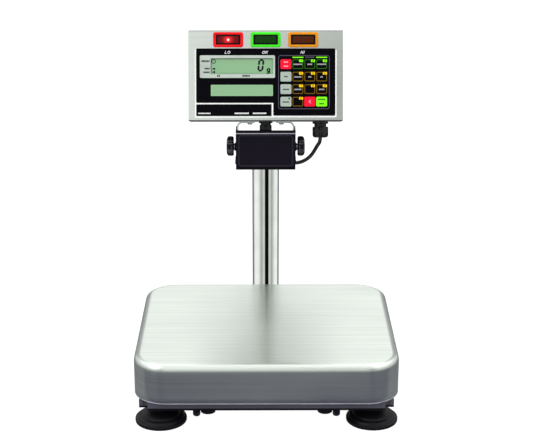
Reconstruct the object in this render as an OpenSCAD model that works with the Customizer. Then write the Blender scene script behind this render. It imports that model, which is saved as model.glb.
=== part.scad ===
// Bench scale: stainless pan on a single-point load cell, column at the back, tilting indicator.
// Units are millimetres, +Z is up, +X is the reader's right and the reader stands at -Y.
// The origin is on the floor, under the middle of the object's bounding box.

/* [Pan] */
// Width of the pan
pan_w = 380; // [372:1:400]
// Depth of the pan, front to back
pan_d = 320; // [314:1:330]
// Height of the pan's top above the floor
pan_top = 102; // [101:0.5:106]
// Depth of the pan's skirt
pan_skirt = 58.8; // [50:0.1:60]
// Radius of the pan's corners, seen from above
pan_corner = 48; // [44:1:54]
// Radius of the pan's top edge
pan_edge = 9.4; // [8:0.1:10]
// Thickness of the pan's sheet
pan_t = 1.5; // [1.2:0.1:2]

/* [Base] */
// Height of the base frame's underside above the floor
frame_z = 30; // [30:0.5:31]
// Distance from the pan's edge in to the frame's wall
frame_inset = 8; // [7:0.5:9]
// Diameter of a foot pad
foot_dia = 74.5; // [68:0.5:76]
// Distance from the centre line out to a foot
foot_x = 152.5; // [148:0.5:153]
// Distance from the pan's middle to a foot, front to back
foot_y = 120; // [114:1:122]
// Travel of a foot's screw
foot_travel = 8; // [4:0.5:9]

/* [Column] */
// Outer diameter of the pole
pole_dia = 42.7; // [42.4:0.1:43]
// Distance from the pan's middle back to the pole
pole_back = 192; // [190:1:196]
// Height of the head's underside
head_z = 290.4; // [285:0.1:295]
// Width of the head
head_w = 94; // [94:0.5:96]
// Height of the head
head_h = 62.8; // [60:0.1:64]
// Distance from the pan's middle back to the tilt axis
tilt_back = 186; // [185:0.5:188]
// Height of the tilt axis
tilt_z = 323.1; // [322:0.1:324]

/* [Indicator] */
// Width of the indicator's face
face_w = 238; // [236:1:242]
// Height of the indicator's face
face_h = 138.6; // [138:0.1:140]
// Distance from the pan's middle back to the face's middle
face_back = 160; // [158:0.5:161]
// Height of the face's middle
face_z = 443.7; // [443:0.1:446]
// Lean of the face from upright, in degrees
lean = 16; // [15:0.5:17]
// Depth of the case at its foot
case_low_depth = 74; // [73:0.5:78]
// Depth of the case at its top
case_top_depth = 56; // [52:0.5:60]

/* [Keypad] */
// Width of a key
key_w = 16.9; // [15:0.1:17]
// Height of a key
key_h = 15; // [13:0.1:16]
// Distance between key columns
key_pitch_x = 18.3; // [18:0.1:18.8]
// Distance between key rows
key_pitch_z = 19.15; // [18.6:0.05:19.4]
// Travel of a key
key_travel = 0.5; // [0.3:0.1:0.5]

/* [Hidden] */
$fn = 64;
eps = 0.1;

// Heights of the stack under the pan
frame_t = 3;
floor_z = frame_z + frame_t;
plateau_h = 6;
cell_z = floor_z + plateau_h;
cell_h = 32;
cell_w = 40;
cell_l = 150;
spacer_h = 6;
support_t = 4;
support_z = cell_z + cell_h + spacer_h;
stop_gap = 1;
pan_under = pan_top - pan_t;
frame_w = pan_w - 2 * frame_inset;
frame_d = pan_d - 2 * frame_inset;
rail_y = pan_d / 2 - 22;
rail_w = 26;
pad_x = 140;
stop_x = 100;
stop_y = pan_d / 2 - 20;
cell_bolt_y = [38, 62];
column_bolts = [[-40, 100], [40, 100], [-40, 135], [40, 135]];
level_place = [39, 205];
cup_x = 83.5;
cup_r = 10.6;
cup_h = 6.7;
cup_t = 2;
skirt_z = pan_top - pan_skirt;
skirt_gap = 1.5;

// Column and head
pole_r = pole_dia / 2;
pole_t = 1.5;
head_t = 1.5;
head_depth = 48;
head_front = pole_back - head_depth / 2;
head_top = head_z + head_h;
arm_t = 2;
arm_x = head_w / 2 - head_t - 0.3;
arm_r = 13;
knob_bore = 3;
head_screw_y = [184, 204];
head_screw_z = head_z + 8.2;
clamp_z = [frame_z + 15, frame_z + 32];

// The case's own axes: x right, y back from the face, z up the face
case_tilt_y = (tilt_back - face_back) * cos(lean) + (face_z - tilt_z) * sin(lean);
case_tilt_z = (tilt_back - face_back) * sin(lean) - (face_z - tilt_z) * cos(lean);
case_t = 1.5;
tray_depth = 18;
gasket_t = 2;
cover_y = tray_depth + gasket_t;
half_w = face_w / 2;
half_h = face_h / 2;
gland_y = case_tilt_y - 2;
gland_x = 86.5;
case_screw_x = 104;
case_screw_z = 58;
overlay_t = 1;
overlay_left = -106.8;
overlay_step_x = 11.7;
overlay_right = 107;
lcd_left = -84.5;
lcd_right = 11.3;
lamp_z = 55.2;
lamp_pitch = 57.6;
key_x0 = 31.1;
key_z0 = 17.7;

// The pan's middle stands in front of the origin, so that the bounding box is centred
back_reach = face_back + half_h * sin(lean) + case_top_depth * cos(lean);
pan_y = -(back_reach - pan_d / 2) / 2;

// Route of the cable, from the gland by the head's open back and down the pole to the cell
cable_r = 3;
cable_sides = 8;
cable_steps = 3;
cable_route = [
    [86.5, 190.2, 345], [86.5, 188, 337.4], [85.2, 187.2, 330], [81.6, 190, 323], [74, 197, 307.5],
    [65.7, 206, 296.5], [56, 215, 289], [46, 221.5, 286], [35, 224, 288], [25, 221, 294],
    [16, 213, 299], [8, 203, 301], [2, 195, 297], [0, 192, 288], [0, 192, 260], [0, 192, 210],
    [0, 192, 160], [0, 192, 110], [0, 192, 70], [0, 190, 55], [0, 182, 42], [0, 170, 37],
    [0, 150, 37], [0, 125, 37], [0, 103, 39], [0, 92, 46], [0, 84, 53], [0, 75, 55]
];

// ---- Helpers ----

module at_pan() translate([0, pan_y, 0]) children();

module at_case() translate([0, pan_y + face_back, face_z]) rotate([-lean, 0, 0]) children();

module mirror_x() {
    children();
    mirror([1, 0, 0]) children();
}

module rounded_2d(x0, x1, y0, y1, r) {
    translate([x0 + r, y0]) square([x1 - x0 - 2 * r, y1 - y0]);
    translate([x0, y0 + r]) square([x1 - x0, y1 - y0 - 2 * r]);
    for (x = [x0 + r, x1 - r]) for (y = [y0 + r, y1 - r]) translate([x, y]) circle(r);
}

// A rounded plate that stands in the case's x-z plane, from depth y0 to depth y1
module slab(x0, x1, z0, z1, y0, y1, r = 1) {
    translate([0, y1, 0]) rotate([90, 0, 0]) linear_extrude(y1 - y0)
        rounded_2d(x0, x1, z0, z1, r);
}

module box_at(low, high) translate(low) cube(high - low);

module along_y(x, z, y0, y1, r) translate([x, y0, z]) rotate([-90, 0, 0]) cylinder(r = r, h = y1 - y0);

module across_x(x0, x1, r) translate([x0, 0, 0]) rotate([0, 90, 0]) cylinder(r = r, h = x1 - x0);

module hex_prism(r, h) cylinder(r = r, h = h, $fn = 6);

module tube(r_out, r_in, h) difference() {
    cylinder(r = r_out, h = h);
    translate([0, 0, -eps]) cylinder(r = r_in, h = h + 2 * eps);
}

// ---- Pan and its support ----

module pan_wall_2d() {
    edge = pan_corner - pan_edge;
    difference() {
        translate([edge, -pan_edge]) intersection() {
            circle(pan_edge);
            square(pan_edge);
        }
        translate([edge, -pan_edge]) circle(pan_edge - pan_t);
    }
    translate([pan_corner - pan_t, -pan_skirt]) square([pan_t, pan_skirt - pan_edge]);
}

module pan_wall_run(length) rotate([90, 0, 0]) linear_extrude(length, center = true) pan_wall_2d();

module pan() color([0.75, 0.77, 0.75]) at_pan() translate([0, 0, pan_top]) {
    cx = pan_w / 2 - pan_corner;
    cy = pan_d / 2 - pan_corner;
    flat_r = pan_corner - pan_edge;
    for (a = [0, 180]) rotate(a) {
        translate([cx, 0, 0]) pan_wall_run(2 * cy);
        translate([0, cy, 0]) rotate(90) pan_wall_run(2 * cx);
        translate([cx, cy, 0]) rotate_extrude(angle = 90) pan_wall_2d();
        translate([-cx, cy, 0]) rotate(90) rotate_extrude(angle = 90) pan_wall_2d();
    }
    translate([0, 0, -pan_t]) linear_extrude(pan_t)
        rounded_2d(-cx - flat_r, cx + flat_r, -cy - flat_r, cy + flat_r, flat_r);
}

module pan_support() color("silver") at_pan() difference() {
    union() {
        box_at([-45, -rail_y - 13, support_z], [45, rail_y + 13, support_z + support_t]);
        for (side = [-1, 1]) {
            box_at([-150, side * rail_y - rail_w / 2, support_z],
                   [150, side * rail_y + rail_w / 2, support_z + support_t]);
            lip = side * (rail_y + rail_w / 2 - 1.5);
            box_at([-150, lip - 1.5, support_z - 9], [150, lip + 1.5, support_z]);
        }
        mirror_x() box_at([42, -120, support_z - 9], [45, 120, support_z]);
    }
    for (y = cell_bolt_y) translate([0, -y, support_z - eps]) cylinder(r = 4.3, h = support_t + 2 * eps);
}

module cell_spacer() color("lightgrey") at_pan() difference() {
    box_at([-cell_w / 2, -cell_l / 2, support_z - spacer_h], [cell_w / 2, -25, support_z]);
    for (y = cell_bolt_y) translate([0, -y, support_z - spacer_h - eps]) cylinder(r = 4.3, h = spacer_h + 1);
}

module cell_bolts_upper() color("dimgrey") at_pan() for (y = cell_bolt_y)
    translate([0, -y, 0]) {
        translate([0, 0, cell_z + cell_h - 14]) cylinder(r = 4, h = 14 + spacer_h + support_t);
        translate([0, 0, support_z + support_t]) hex_prism(7.5, 5.3);
    }

module support_pads() color("black") at_pan() for (x = [-pad_x, pad_x]) for (y = [-rail_y, rail_y])
    translate([x, y, support_z + support_t]) {
        cylinder(r = 12, h = 12);
        translate([0, 0, 12]) cylinder(r = 9, h = pan_under - support_z - support_t - 12);
    }

// ---- Base ----

module base_frame() color([0.45, 0.45, 0.5]) at_pan() {
    notch_in = 13;
    wall_h = 22;
    x = frame_w / 2;
    y = frame_d / 2;
    difference() {
        union() {
            box_at([-x + notch_in, -y, frame_z], [x - notch_in, y, floor_z]);
            box_at([-x, -y + 10, frame_z], [x, y - 10, floor_z]);
            for (s = [-1, 1]) {
                front = s * (y - frame_t / 2);
                box_at([-x + notch_in, front - frame_t / 2, frame_z],
                       [x - notch_in, front + frame_t / 2, frame_z + wall_h]);
                side = s * (x - frame_t / 2);
                box_at([side - frame_t / 2, -y + 10, frame_z],
                       [side + frame_t / 2, y - 10, frame_z + wall_h]);
            }
            mirror_x() for (s = [-1, 1]) translate([x - 6, s * (y - 11.5) - 1.5, frame_z])
                cube([6, frame_t, wall_h]);
            box_at([-22, 25, floor_z], [22, cell_l / 2, cell_z]);
            mirror_x() for (s = [-1, 1]) translate([cup_x, s * stop_y, frame_z - cup_h])
                cylinder(r = cup_r, h = cup_h + frame_t);
        }
        for (a = [-foot_x, foot_x]) for (b = [-foot_y, foot_y])
            translate([a, b, frame_z - eps]) cylinder(r = 5.3, h = frame_t + 2 * eps);
        for (a = [-stop_x, stop_x]) for (b = [-stop_y, stop_y])
            translate([a, b, frame_z - eps]) cylinder(r = 4.1, h = frame_t + 2 * eps);
        for (b = cell_bolt_y) translate([0, b, frame_z - eps])
            cylinder(r = 4.3, h = frame_t + plateau_h + 2 * eps);
        for (p = column_bolts) translate([p[0], p[1], frame_z - eps])
            cylinder(r = 3.3, h = frame_t + 2 * eps);
        box_at([-30, y - frame_t - eps, floor_z], [30, y + eps, frame_z + wall_h + eps]);
        mirror_x() for (s = [-1, 1]) translate([cup_x, s * stop_y, frame_z - cup_h + cup_t])
            cylinder(r = cup_r - cup_t, h = cup_h - cup_t + frame_t + eps);
        // Room for the pan's rounded corners, which come down outside the frame
        translate([0, 0, skirt_z - skirt_gap]) linear_extrude(wall_h) difference() {
            square([2 * pan_w, 2 * pan_d], center = true);
            room_x = pan_w / 2 - pan_t - skirt_gap;
            room_y = pan_d / 2 - pan_t - skirt_gap;
            rounded_2d(-room_x, room_x, -room_y, room_y, pan_corner - pan_t - skirt_gap);
        }
    }
}

module load_cell() color("gainsboro") at_pan() {
    mid = cell_z + cell_h / 2;
    difference() {
        box_at([-cell_w / 2, -cell_l / 2, cell_z], [cell_w / 2, cell_l / 2, cell_z + cell_h]);
        for (y = [-13, 13]) translate([0, y, mid]) across_x(-cell_w / 2 - eps, cell_w / 2 + eps, 11);
        box_at([-cell_w / 2 - eps, -13, mid - 4], [cell_w / 2 + eps, 13, mid + 4]);
        for (y = cell_bolt_y) {
            translate([0, -y, cell_z + cell_h - 16]) cylinder(r = 4.05, h = 16 + eps);
            translate([0, y, cell_z - eps]) cylinder(r = 4.05, h = 16 + eps);
        }
    }
}

module cell_bolts_lower() color("dimgrey") at_pan() for (y = cell_bolt_y) translate([0, y, 0]) {
    translate([0, 0, frame_z]) cylinder(r = 4, h = frame_t + plateau_h + 14);
    translate([0, 0, frame_z - 5.3]) hex_prism(7.5, 5.3);
}

module overload_stops() color([0.15, 0.15, 0.16]) at_pan()
    for (x = [-stop_x, stop_x]) for (y = [-stop_y, stop_y]) translate([x, y, 0]) {
        translate([0, 0, frame_z - 13.6]) cylinder(r = 5.4, h = 13.6);
        translate([0, 0, frame_z]) cylinder(r = 4, h = support_z - stop_gap - frame_z);
        translate([0, 0, floor_z]) hex_prism(7.2, 6);
    }

module foot_lock_nuts() color("silver") at_pan() for (x = [-foot_x, foot_x]) for (y = [-foot_y, foot_y])
    translate([x, y, frame_z - 5]) difference() {
        hex_prism(9.8, 5);
        translate([0, 0, -eps]) cylinder(r = 5.25, h = 5 + 2 * eps);
    }

module foot_stud(x, y) color("silver") at_pan() translate([x, y, 0]) {
    translate([0, 0, 10]) cylinder(r = 5, h = 48);
}

module foot_pad(x, y) color([0.12, 0.12, 0.13]) at_pan() translate([x, y, 0]) difference() {
    r = foot_dia / 2;
    rotate_extrude() polygon([
        [0, 0], [r, 0], [r, 5], [r - 5, 9], [r - 9, 10], [r - 10, 12.5], [20, 17], [14, 20],
        [13, 23.5], [11.5, 24.5], [0, 24.5]
    ]);
    translate([0, 0, 10]) cylinder(r = 5.06, h = 20);
}

module foot_stud_fl() foot_stud(-foot_x, -foot_y);
module foot_stud_fr() foot_stud(foot_x, -foot_y);
module foot_stud_rl() foot_stud(-foot_x, foot_y);
module foot_stud_rr() foot_stud(foot_x, foot_y);
module foot_pad_fl() foot_pad(-foot_x, -foot_y);
module foot_pad_fr() foot_pad(foot_x, -foot_y);
module foot_pad_rl() foot_pad(-foot_x, foot_y);
module foot_pad_rr() foot_pad(foot_x, foot_y);

module at_level() at_pan() translate([level_place[0], level_place[1], frame_z]) children();

module level_housing() color([0.1, 0.1, 0.1]) at_level() difference() {
    cylinder(r = 11, h = 9);
    translate([0, 0, 2]) cylinder(r = 9, h = 8);
}

module level_vial() color([0.7, 0.9, 0.3, 0.8]) at_level() translate([0, 0, 2]) cylinder(r = 9, h = 8);

// ---- Column ----

module column_bracket() color([0.3, 0.3, 0.33]) at_pan() difference() {
    union() {
        box_at([-52, 85, frame_z - 4], [52, 222, frame_z]);
        translate([0, pole_back, frame_z]) cylinder(r = 26, h = 46);
        mirror_x() translate([25, pole_back - 2, frame_z]) rotate([90, 0, 0])
            linear_extrude(4, center = true) polygon([[0, 0], [25, 0], [4, 36], [0, 36]]);
    }
    translate([0, pole_back, frame_z - 4 - eps]) cylinder(r = 12, h = 5);
    translate([0, pole_back, frame_z]) cylinder(r = pole_r + 0.05, h = 47);
    box_at([-5, pole_back - 30, frame_z], [5, pole_back - 10, frame_z + 20]);
    for (p = column_bolts) translate([p[0], p[1], frame_z - 5]) cylinder(r = 3.3, h = 6);
    for (z = clamp_z) along_y(0, z, pole_back + 10, pole_back + 30, 3.05);
}

module column_screws() color("dimgrey") at_pan() {
    for (p = column_bolts) translate([p[0], p[1], 0]) {
        translate([0, 0, frame_z - 8]) hex_prism(5.7, 4);
        translate([0, 0, frame_z - 4]) cylinder(r = 3, h = 13);
        translate([0, 0, floor_z]) difference() {
            hex_prism(5.7, 5);
            translate([0, 0, -eps]) cylinder(r = 3, h = 5 + 2 * eps);
        }
    }
    for (z = clamp_z) {
        along_y(0, z, pole_back + pole_r - pole_t - 1, pole_back + 26, 3);
        along_y(0, z, pole_back + 26, pole_back + 29, 5);
    }
}

module pole() color([0.85, 0.86, 0.86]) at_pan() {
    difference() {
        union() {
            translate([0, pole_back, frame_z]) tube(pole_r, pole_r - pole_t, head_z + 1.5 - frame_z);
            box_at([-arm_x, head_front + 2, head_z + 1.5], [arm_x, head_front + head_depth - 1, head_z + 4.5]);
            mirror_x() box_at([arm_x - 2, head_front + 4, head_z + 4.5],
                              [arm_x, head_front + head_depth - 3, head_z + 17 - 2]);
        }
        translate([0, pole_back, head_z]) cylinder(r = 12, h = 10);
        box_at([-5, pole_back - 30, frame_z - eps], [5, pole_back - 10, frame_z + 20]);
        for (z = clamp_z) along_y(0, z, pole_back + 10, pole_back + 30, 3.05);
        for (y = head_screw_y) translate([0, y, head_screw_z]) across_x(-head_w, head_w, 2.05);
    }
}

module pole_head() color([0.1, 0.1, 0.11]) at_pan() {
    back = head_front + head_depth;
    difference() {
        union() {
            box_at([-head_w / 2, head_front, head_z], [head_w / 2, head_front + head_t, head_top]);
            mirror_x() translate([head_w / 2 - head_t, 0, 0]) rotate([90, 0, 90]) linear_extrude(head_t)
                polygon([
                    [head_front, head_z], [back, head_z], [back, head_top - 20],
                    [back - 16, head_top], [head_front, head_top]
                ]);
            box_at([-head_w / 2, head_front, head_top - head_t], [head_w / 2, head_front + 6, head_top]);
        }
        translate([0, tilt_back, tilt_z]) across_x(-head_w, head_w, knob_bore + 0.1);
        for (y = head_screw_y) translate([0, y, head_screw_z]) across_x(-head_w, head_w, 2.1);
    }
}

module pole_head_screws() color("black") at_pan() mirror_x() for (y = head_screw_y)
    translate([0, y, head_screw_z]) {
        across_x(arm_x - 3, head_w / 2, 2);
        across_x(head_w / 2, head_w / 2 + 1.4, 3.5);
    }

// ---- Cable ----

function catmull(a, b, c, d, t) = 0.5 * (
    2 * b + (c - a) * t + (2 * a - 5 * b + 4 * c - d) * t * t + (3 * b - a - 3 * c + d) * t * t * t
);
function clamp_index(i, n) = max(0, min(n - 1, i));
function unit(v) = v / norm(v);
function route_point(p, s) = let (n = len(p), i = min(floor(s), n - 2))
    catmull(p[clamp_index(i - 1, n)], p[i], p[i + 1], p[clamp_index(i + 2, n)], s - i);

// A closed tube of radius r along the route; the fixed side vector is never parallel to the route
module route_tube(p, r, sides, steps) {
    count = steps * (len(p) - 1);
    side = [1, -1, -0.6];
    at = [for (k = [0:count]) route_point(p, k / steps)];
    way = [for (k = [0:count]) unit(at[min(k + 1, count)] - at[max(k - 1, 0)])];
    ring = [
        for (k = [0:count]) let (u = unit(cross(way[k], side)), v = cross(way[k], u))
            for (j = [0:sides - 1]) at[k] + r * (cos(360 * j / sides) * u + sin(360 * j / sides) * v)
    ];
    walls = [
        for (k = [0:count - 1]) for (j = [0:sides - 1]) let (a = k * sides, n = (j + 1) % sides)
            each [[a + j, a + sides + j, a + sides + n], [a + j, a + sides + n, a + n]]
    ];
    ends = [
        [for (j = [0:sides - 1]) j],
        [for (j = [sides - 1:-1:0]) count * sides + j]
    ];
    polyhedron(ring, concat(walls, ends));
}

module load_cell_cable() color([0.08, 0.08, 0.09]) at_pan()
    route_tube(cable_route, cable_r, cable_sides, cable_steps);

// ---- Indicator ----

module tilt_arms() color([0.75, 0.77, 0.75]) at_case() mirror_x() {
    foot = -half_h - arm_t;
    bend = 8;
    difference() {
        union() {
            translate([arm_x - arm_t, 0, 0]) {
                box_at([0, case_tilt_y - arm_r, case_tilt_z], [arm_t, case_tilt_y + arm_r, foot + arm_t - bend]);
                translate([0, case_tilt_y, case_tilt_z]) across_x(0, arm_t, arm_r);
            }
            translate([arm_x - bend, case_tilt_y + arm_r, foot + arm_t - bend]) rotate([90, 0, 0])
                linear_extrude(2 * arm_r) {
                    difference() {
                        intersection() {
                            circle(bend);
                            square(bend);
                        }
                        circle(bend - arm_t);
                    }
                    translate([bend - arm_t, -1]) square([arm_t, 1]);
                    translate([-1, bend - arm_t]) square([1, arm_t]);
                }
            box_at([17, case_tilt_y - arm_r, foot], [arm_x - bend, case_tilt_y + arm_r, foot + arm_t]);
            translate([0, case_tilt_y, case_tilt_z]) across_x(arm_x - arm_t - 5, arm_x - arm_t, 5.5);
        }
        translate([0, case_tilt_y, case_tilt_z]) across_x(arm_x - 12, arm_x + 1, knob_bore + 0.08);
        for (y = [-7, 7]) translate([25, case_tilt_y + y, foot - eps]) cylinder(r = 2.2, h = arm_t + 2 * eps);
    }
}

module case_ring(y0, y1, outer, inner) difference() {
    slab(-half_w + outer, half_w - outer, -half_h + outer, half_h - outer, y0, y1);
    slab(-half_w + inner, half_w - inner, -half_h + inner, half_h - inner, y0 - eps, y1 + eps);
}

module front_case() color([0.8, 0.82, 0.8]) at_case() difference() {
    union() {
        slab(-half_w, half_w, -half_h, half_h, 0, case_t, 2);
        case_ring(0, tray_depth, 0, case_t);
        case_ring(tray_depth - case_t, tray_depth, 0.5, 7);
        for (x = [-case_screw_x, case_screw_x]) for (z = [-case_screw_z, case_screw_z])
            along_y(x, z, 0.5, tray_depth - 1, 4.5);
    }
    for (x = [-1, 0, 1]) slab(x * lamp_pitch - 19.2, x * lamp_pitch + 19.2, lamp_z - 8, lamp_z + 8, -1, 3);
    slab(lcd_left, lcd_right, 2.5, 26.7, -1, 3);
    slab(lcd_left, lcd_right, -31.1, -13.6, -1, 3);
    slab(20.8, 96.4, -49, 27, -1, 3);
    for (x = [-case_screw_x, case_screw_x]) for (z = [-case_screw_z, case_screw_z])
        along_y(x, z, 6, tray_depth + 1, 2.05);
}

module case_gasket() color([0.1, 0.1, 0.1]) at_case() case_ring(tray_depth, cover_y, 1.2, 6.5);

function cover_outline(inset) = [
    [cover_y - (inset > 0 ? 1 : 0), -half_h + inset], [case_low_depth - inset, -half_h + inset],
    [case_low_depth - inset, -22], [case_top_depth - inset, 22],
    [case_top_depth - inset, half_h - inset], [cover_y - (inset > 0 ? 1 : 0), half_h - inset]
];

module cover_solid(inset) rotate([90, 0, 90])
    linear_extrude(face_w - 2 * inset, center = true) polygon(cover_outline(inset));

function cover_back(z) = z < 0 ? case_low_depth : case_top_depth;

module rear_cover() color([0.75, 0.77, 0.75]) at_case() difference() {
    union() {
        difference() {
            cover_solid(0);
            cover_solid(case_t);
        }
        case_ring(cover_y, cover_y + case_t, 0.5, 7);
        for (x = [-case_screw_x, case_screw_x]) for (z = [-case_screw_z, case_screw_z])
            along_y(x, z, cover_y, cover_back(z) - 0.5, 4.5);
    }
    for (x = [-case_screw_x, case_screw_x]) for (z = [-case_screw_z, case_screw_z])
        along_y(x, z, cover_y - 1, cover_back(z) + 1, 2.2);
    translate([0, gland_y, -half_h - 1]) cylinder(r = 8.05, h = 4);
    translate([gland_x, gland_y, -half_h - 1]) cylinder(r = 9.05, h = 4);
    mirror_x() for (y = [-7, 7]) translate([25, case_tilt_y + y, -half_h - 1]) cylinder(r = 2.05, h = 4);
}

module case_screws() color("silver") at_case() {
    for (x = [-case_screw_x, case_screw_x]) for (z = [-case_screw_z, case_screw_z]) {
        along_y(x, z, 8, cover_back(z), 2);
        along_y(x, z, cover_back(z), cover_back(z) + 2.4, 3.6);
    }
    mirror_x() for (y = [-7, 7]) translate([25, case_tilt_y + y, -half_h - arm_t]) {
        cylinder(r = 2, h = arm_t + 6);
        translate([0, 0, -2.4]) cylinder(r = 3.6, h = 2.4);
    }
}

module lamp(place, tint) color(tint) at_case() {
    x = place * lamp_pitch;
    slab(x - 23.2, x + 23.2, lamp_z - 11.6, lamp_z + 11.6, -3, 0, 3);
    slab(x - 19, x + 19, lamp_z - 7.8, lamp_z + 7.8, -0.5, 5);
}

module lamp_red() lamp(-1, "red");
module lamp_green() lamp(0, "green");
module lamp_amber() lamp(1, "orange");

module overlay_panel() color([0.06, 0.06, 0.07]) at_case() difference() {
    union() {
        slab(overlay_left, overlay_right, -41.4, 41.9, -overlay_t, 0, 2);
        slab(overlay_step_x, overlay_right, -60.9, 41.9, -overlay_t, 0, 2);
    }
    slab(lcd_left, lcd_right, 2.5, 26.7, -2, 1);
    slab(lcd_left, lcd_right, -31.1, -13.6, -2, 1);
    for (c = [0:3]) for (r = [0:3]) {
        x = key_x0 + c * key_pitch_x;
        z = key_z0 - r * key_pitch_z;
        slab(x - key_w / 2 - 0.3, x + key_w / 2 + 0.3, z - key_h / 2 - 0.3, z + key_h / 2 + 0.3, -2, 1, 2.3);
    }
}

module nameplate() color([0.06, 0.06, 0.07]) at_case() slab(overlay_left, 8.6, -61.7, -43.9, -0.8, 0, 2);

module display_bezel() color([0.7, 0.72, 0.7]) at_case() difference() {
    slab(-101.1, 14.3, -3.4, 31.2, -overlay_t - 1.8, -overlay_t, 2);
    slab(lcd_left, lcd_right, 2.5, 26.7, -4, 0);
}

module display(z0, z1) color([0.55, 0.75, 0.55]) at_case()
    slab(lcd_left + 0.2, lcd_right - 0.2, z0 + 0.2, z1 - 0.2, -0.6, 6.2);

module main_display() display(2.5, 26.7);
module sub_display() display(-31.1, -13.6);

module circuit_board() color("darkgreen") at_case() {
    slab(-97, 98, -50, 36, 6.2, 7.8);
    slab(-60, -20, -20, 10, 7.8, 10.8);
    slab(30, 62, -30, 0, 7.8, 12.8);
    slab(-88, -70, -44, -30, 7.8, 18);
}

module gland(x, r_thread, r_bore, flange, neck) translate([x, gland_y, -half_h]) difference() {
    union() {
        translate([0, 0, -flange[1]]) cylinder(r = flange[0], h = flange[1]);
        cylinder(r = r_thread, h = 10);
        translate([0, 0, -flange[1] - neck[1]]) cylinder(r = neck[0], h = neck[1]);
    }
    translate([0, 0, -20]) cylinder(r = r_bore, h = 40);
}

module cable_glands() color([0.08, 0.08, 0.09]) at_case() {
    gland(0, 8, 4, [10.9, 2.4], [8.2, 3]);
    gland(gland_x, 9, 3.3, [12.5, 3.4], [9.5, 4.8]);
}

module dome_nut(x, z, r, r_bore, h) translate([x, gland_y, z]) difference() {
    union() {
        translate([0, 0, 3 - h]) hex_prism(r, h - 3);
        mirror([0, 0, 1]) translate([0, 0, h - 3]) cylinder(r1 = r * 0.86, r2 = r * 0.6, h = 3);
    }
    translate([0, 0, -h - 1]) cylinder(r = r_bore, h = h + 4);
}

module gland_nuts() color([0.1, 0.1, 0.11]) at_case() {
    dome_nut(0, -half_h - 5.4, 11, 4, 15);
    dome_nut(gland_x, -half_h - 8.2, 14.1, 3.3, 17);
    for (g = [[0, 8, 11], [gland_x, 9, 13]]) translate([g[0], gland_y, -half_h + case_t]) difference() {
        hex_prism(g[2], 4);
        translate([0, 0, -1]) cylinder(r = g[1], h = 6);
    }
}

// ---- Knobs ----

module knob() {
    across_x(arm_x - 9, head_w / 2 + 5, knob_bore);
    across_x(head_w / 2 + 0.3, head_w / 2 + 3.6, 7);
    difference() {
        translate([head_w / 2 + 3.4, 0, 0]) rotate([0, 90, 0]) linear_extrude(11.6) {
            circle(13);
            for (a = [0:60:300]) rotate(a) translate([11.5, 0]) circle(4.6);
        }
        translate([head_w / 2 + 11, 0, 0]) rotate([0, 90, 0]) difference() {
            cylinder(r = 20, h = 5);
            translate([0, 0, -eps]) cylinder(r1 = 16.2, r2 = 12, h = 5 + 2 * eps);
        }
    }
}

module knob_right() color([0.1, 0.1, 0.11]) at_pan() translate([0, tilt_back, tilt_z]) knob();
module knob_left() color([0.1, 0.1, 0.11]) at_pan() translate([0, tilt_back, tilt_z]) mirror([1, 0, 0]) knob();

// ---- Keys ----

module key(column, row, tint) color(tint) at_case() {
    x = key_x0 + column * key_pitch_x;
    z = key_z0 - row * key_pitch_z;
    slab(x - key_w / 2, x + key_w / 2, z - key_h / 2, z + key_h / 2, -1.6, 1.4, 2);
    slab(x - 4, x + 4, z - 3, z + 3, 1, 6.2 - key_travel - 0.2);
}

red = [0.95, 0.1, 0.15];
black = [0.1, 0.1, 0.12];
grey = [0.7, 0.75, 0.7];
green = [0.4, 0.95, 0.1];

module key_a1() key(0, 0, red);
module key_a2() key(1, 0, black);
module key_a3() key(2, 0, black);
module key_a4() key(3, 0, black);
module key_b1() key(0, 1, grey);
module key_b2() key(1, 1, black);
module key_b3() key(2, 1, black);
module key_b4() key(3, 1, black);
module key_c1() key(0, 2, grey);
module key_c2() key(1, 2, black);
module key_c3() key(2, 2, black);
module key_c4() key(3, 2, black);
module key_d1() key(0, 3, grey);
module key_d2() key(1, 3, black);
module key_d3() key(2, 3, red);
module key_d4() key(3, 3, green);

base_frame();
load_cell();
cell_bolts_lower();
overload_stops();
foot_lock_nuts();
level_housing();
level_vial();
column_bracket();
column_screws();
pole();
pole_head();
pole_head_screws();
load_cell_cable();
pan_support();
cell_spacer();
cell_bolts_upper();
support_pads();
pan();
foot_stud_fl();
foot_stud_fr();
foot_stud_rl();
foot_stud_rr();
foot_pad_fl();
foot_pad_fr();
foot_pad_rl();
foot_pad_rr();
tilt_arms();
front_case();
rear_cover();
case_gasket();
case_screws();
lamp_red();
lamp_green();
lamp_amber();
overlay_panel();
nameplate();
display_bezel();
main_display();
sub_display();
circuit_board();
cable_glands();
gland_nuts();
knob_left();
knob_right();
key_a1();
key_a2();
key_a3();
key_a4();
key_b1();
key_b2();
key_b3();
key_b4();
key_c1();
key_c2();
key_c3();
key_c4();
key_d1();
key_d2();
key_d3();
key_d4();
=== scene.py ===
import logging
import math
from dataclasses import dataclass, field
from enum import Enum

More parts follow.
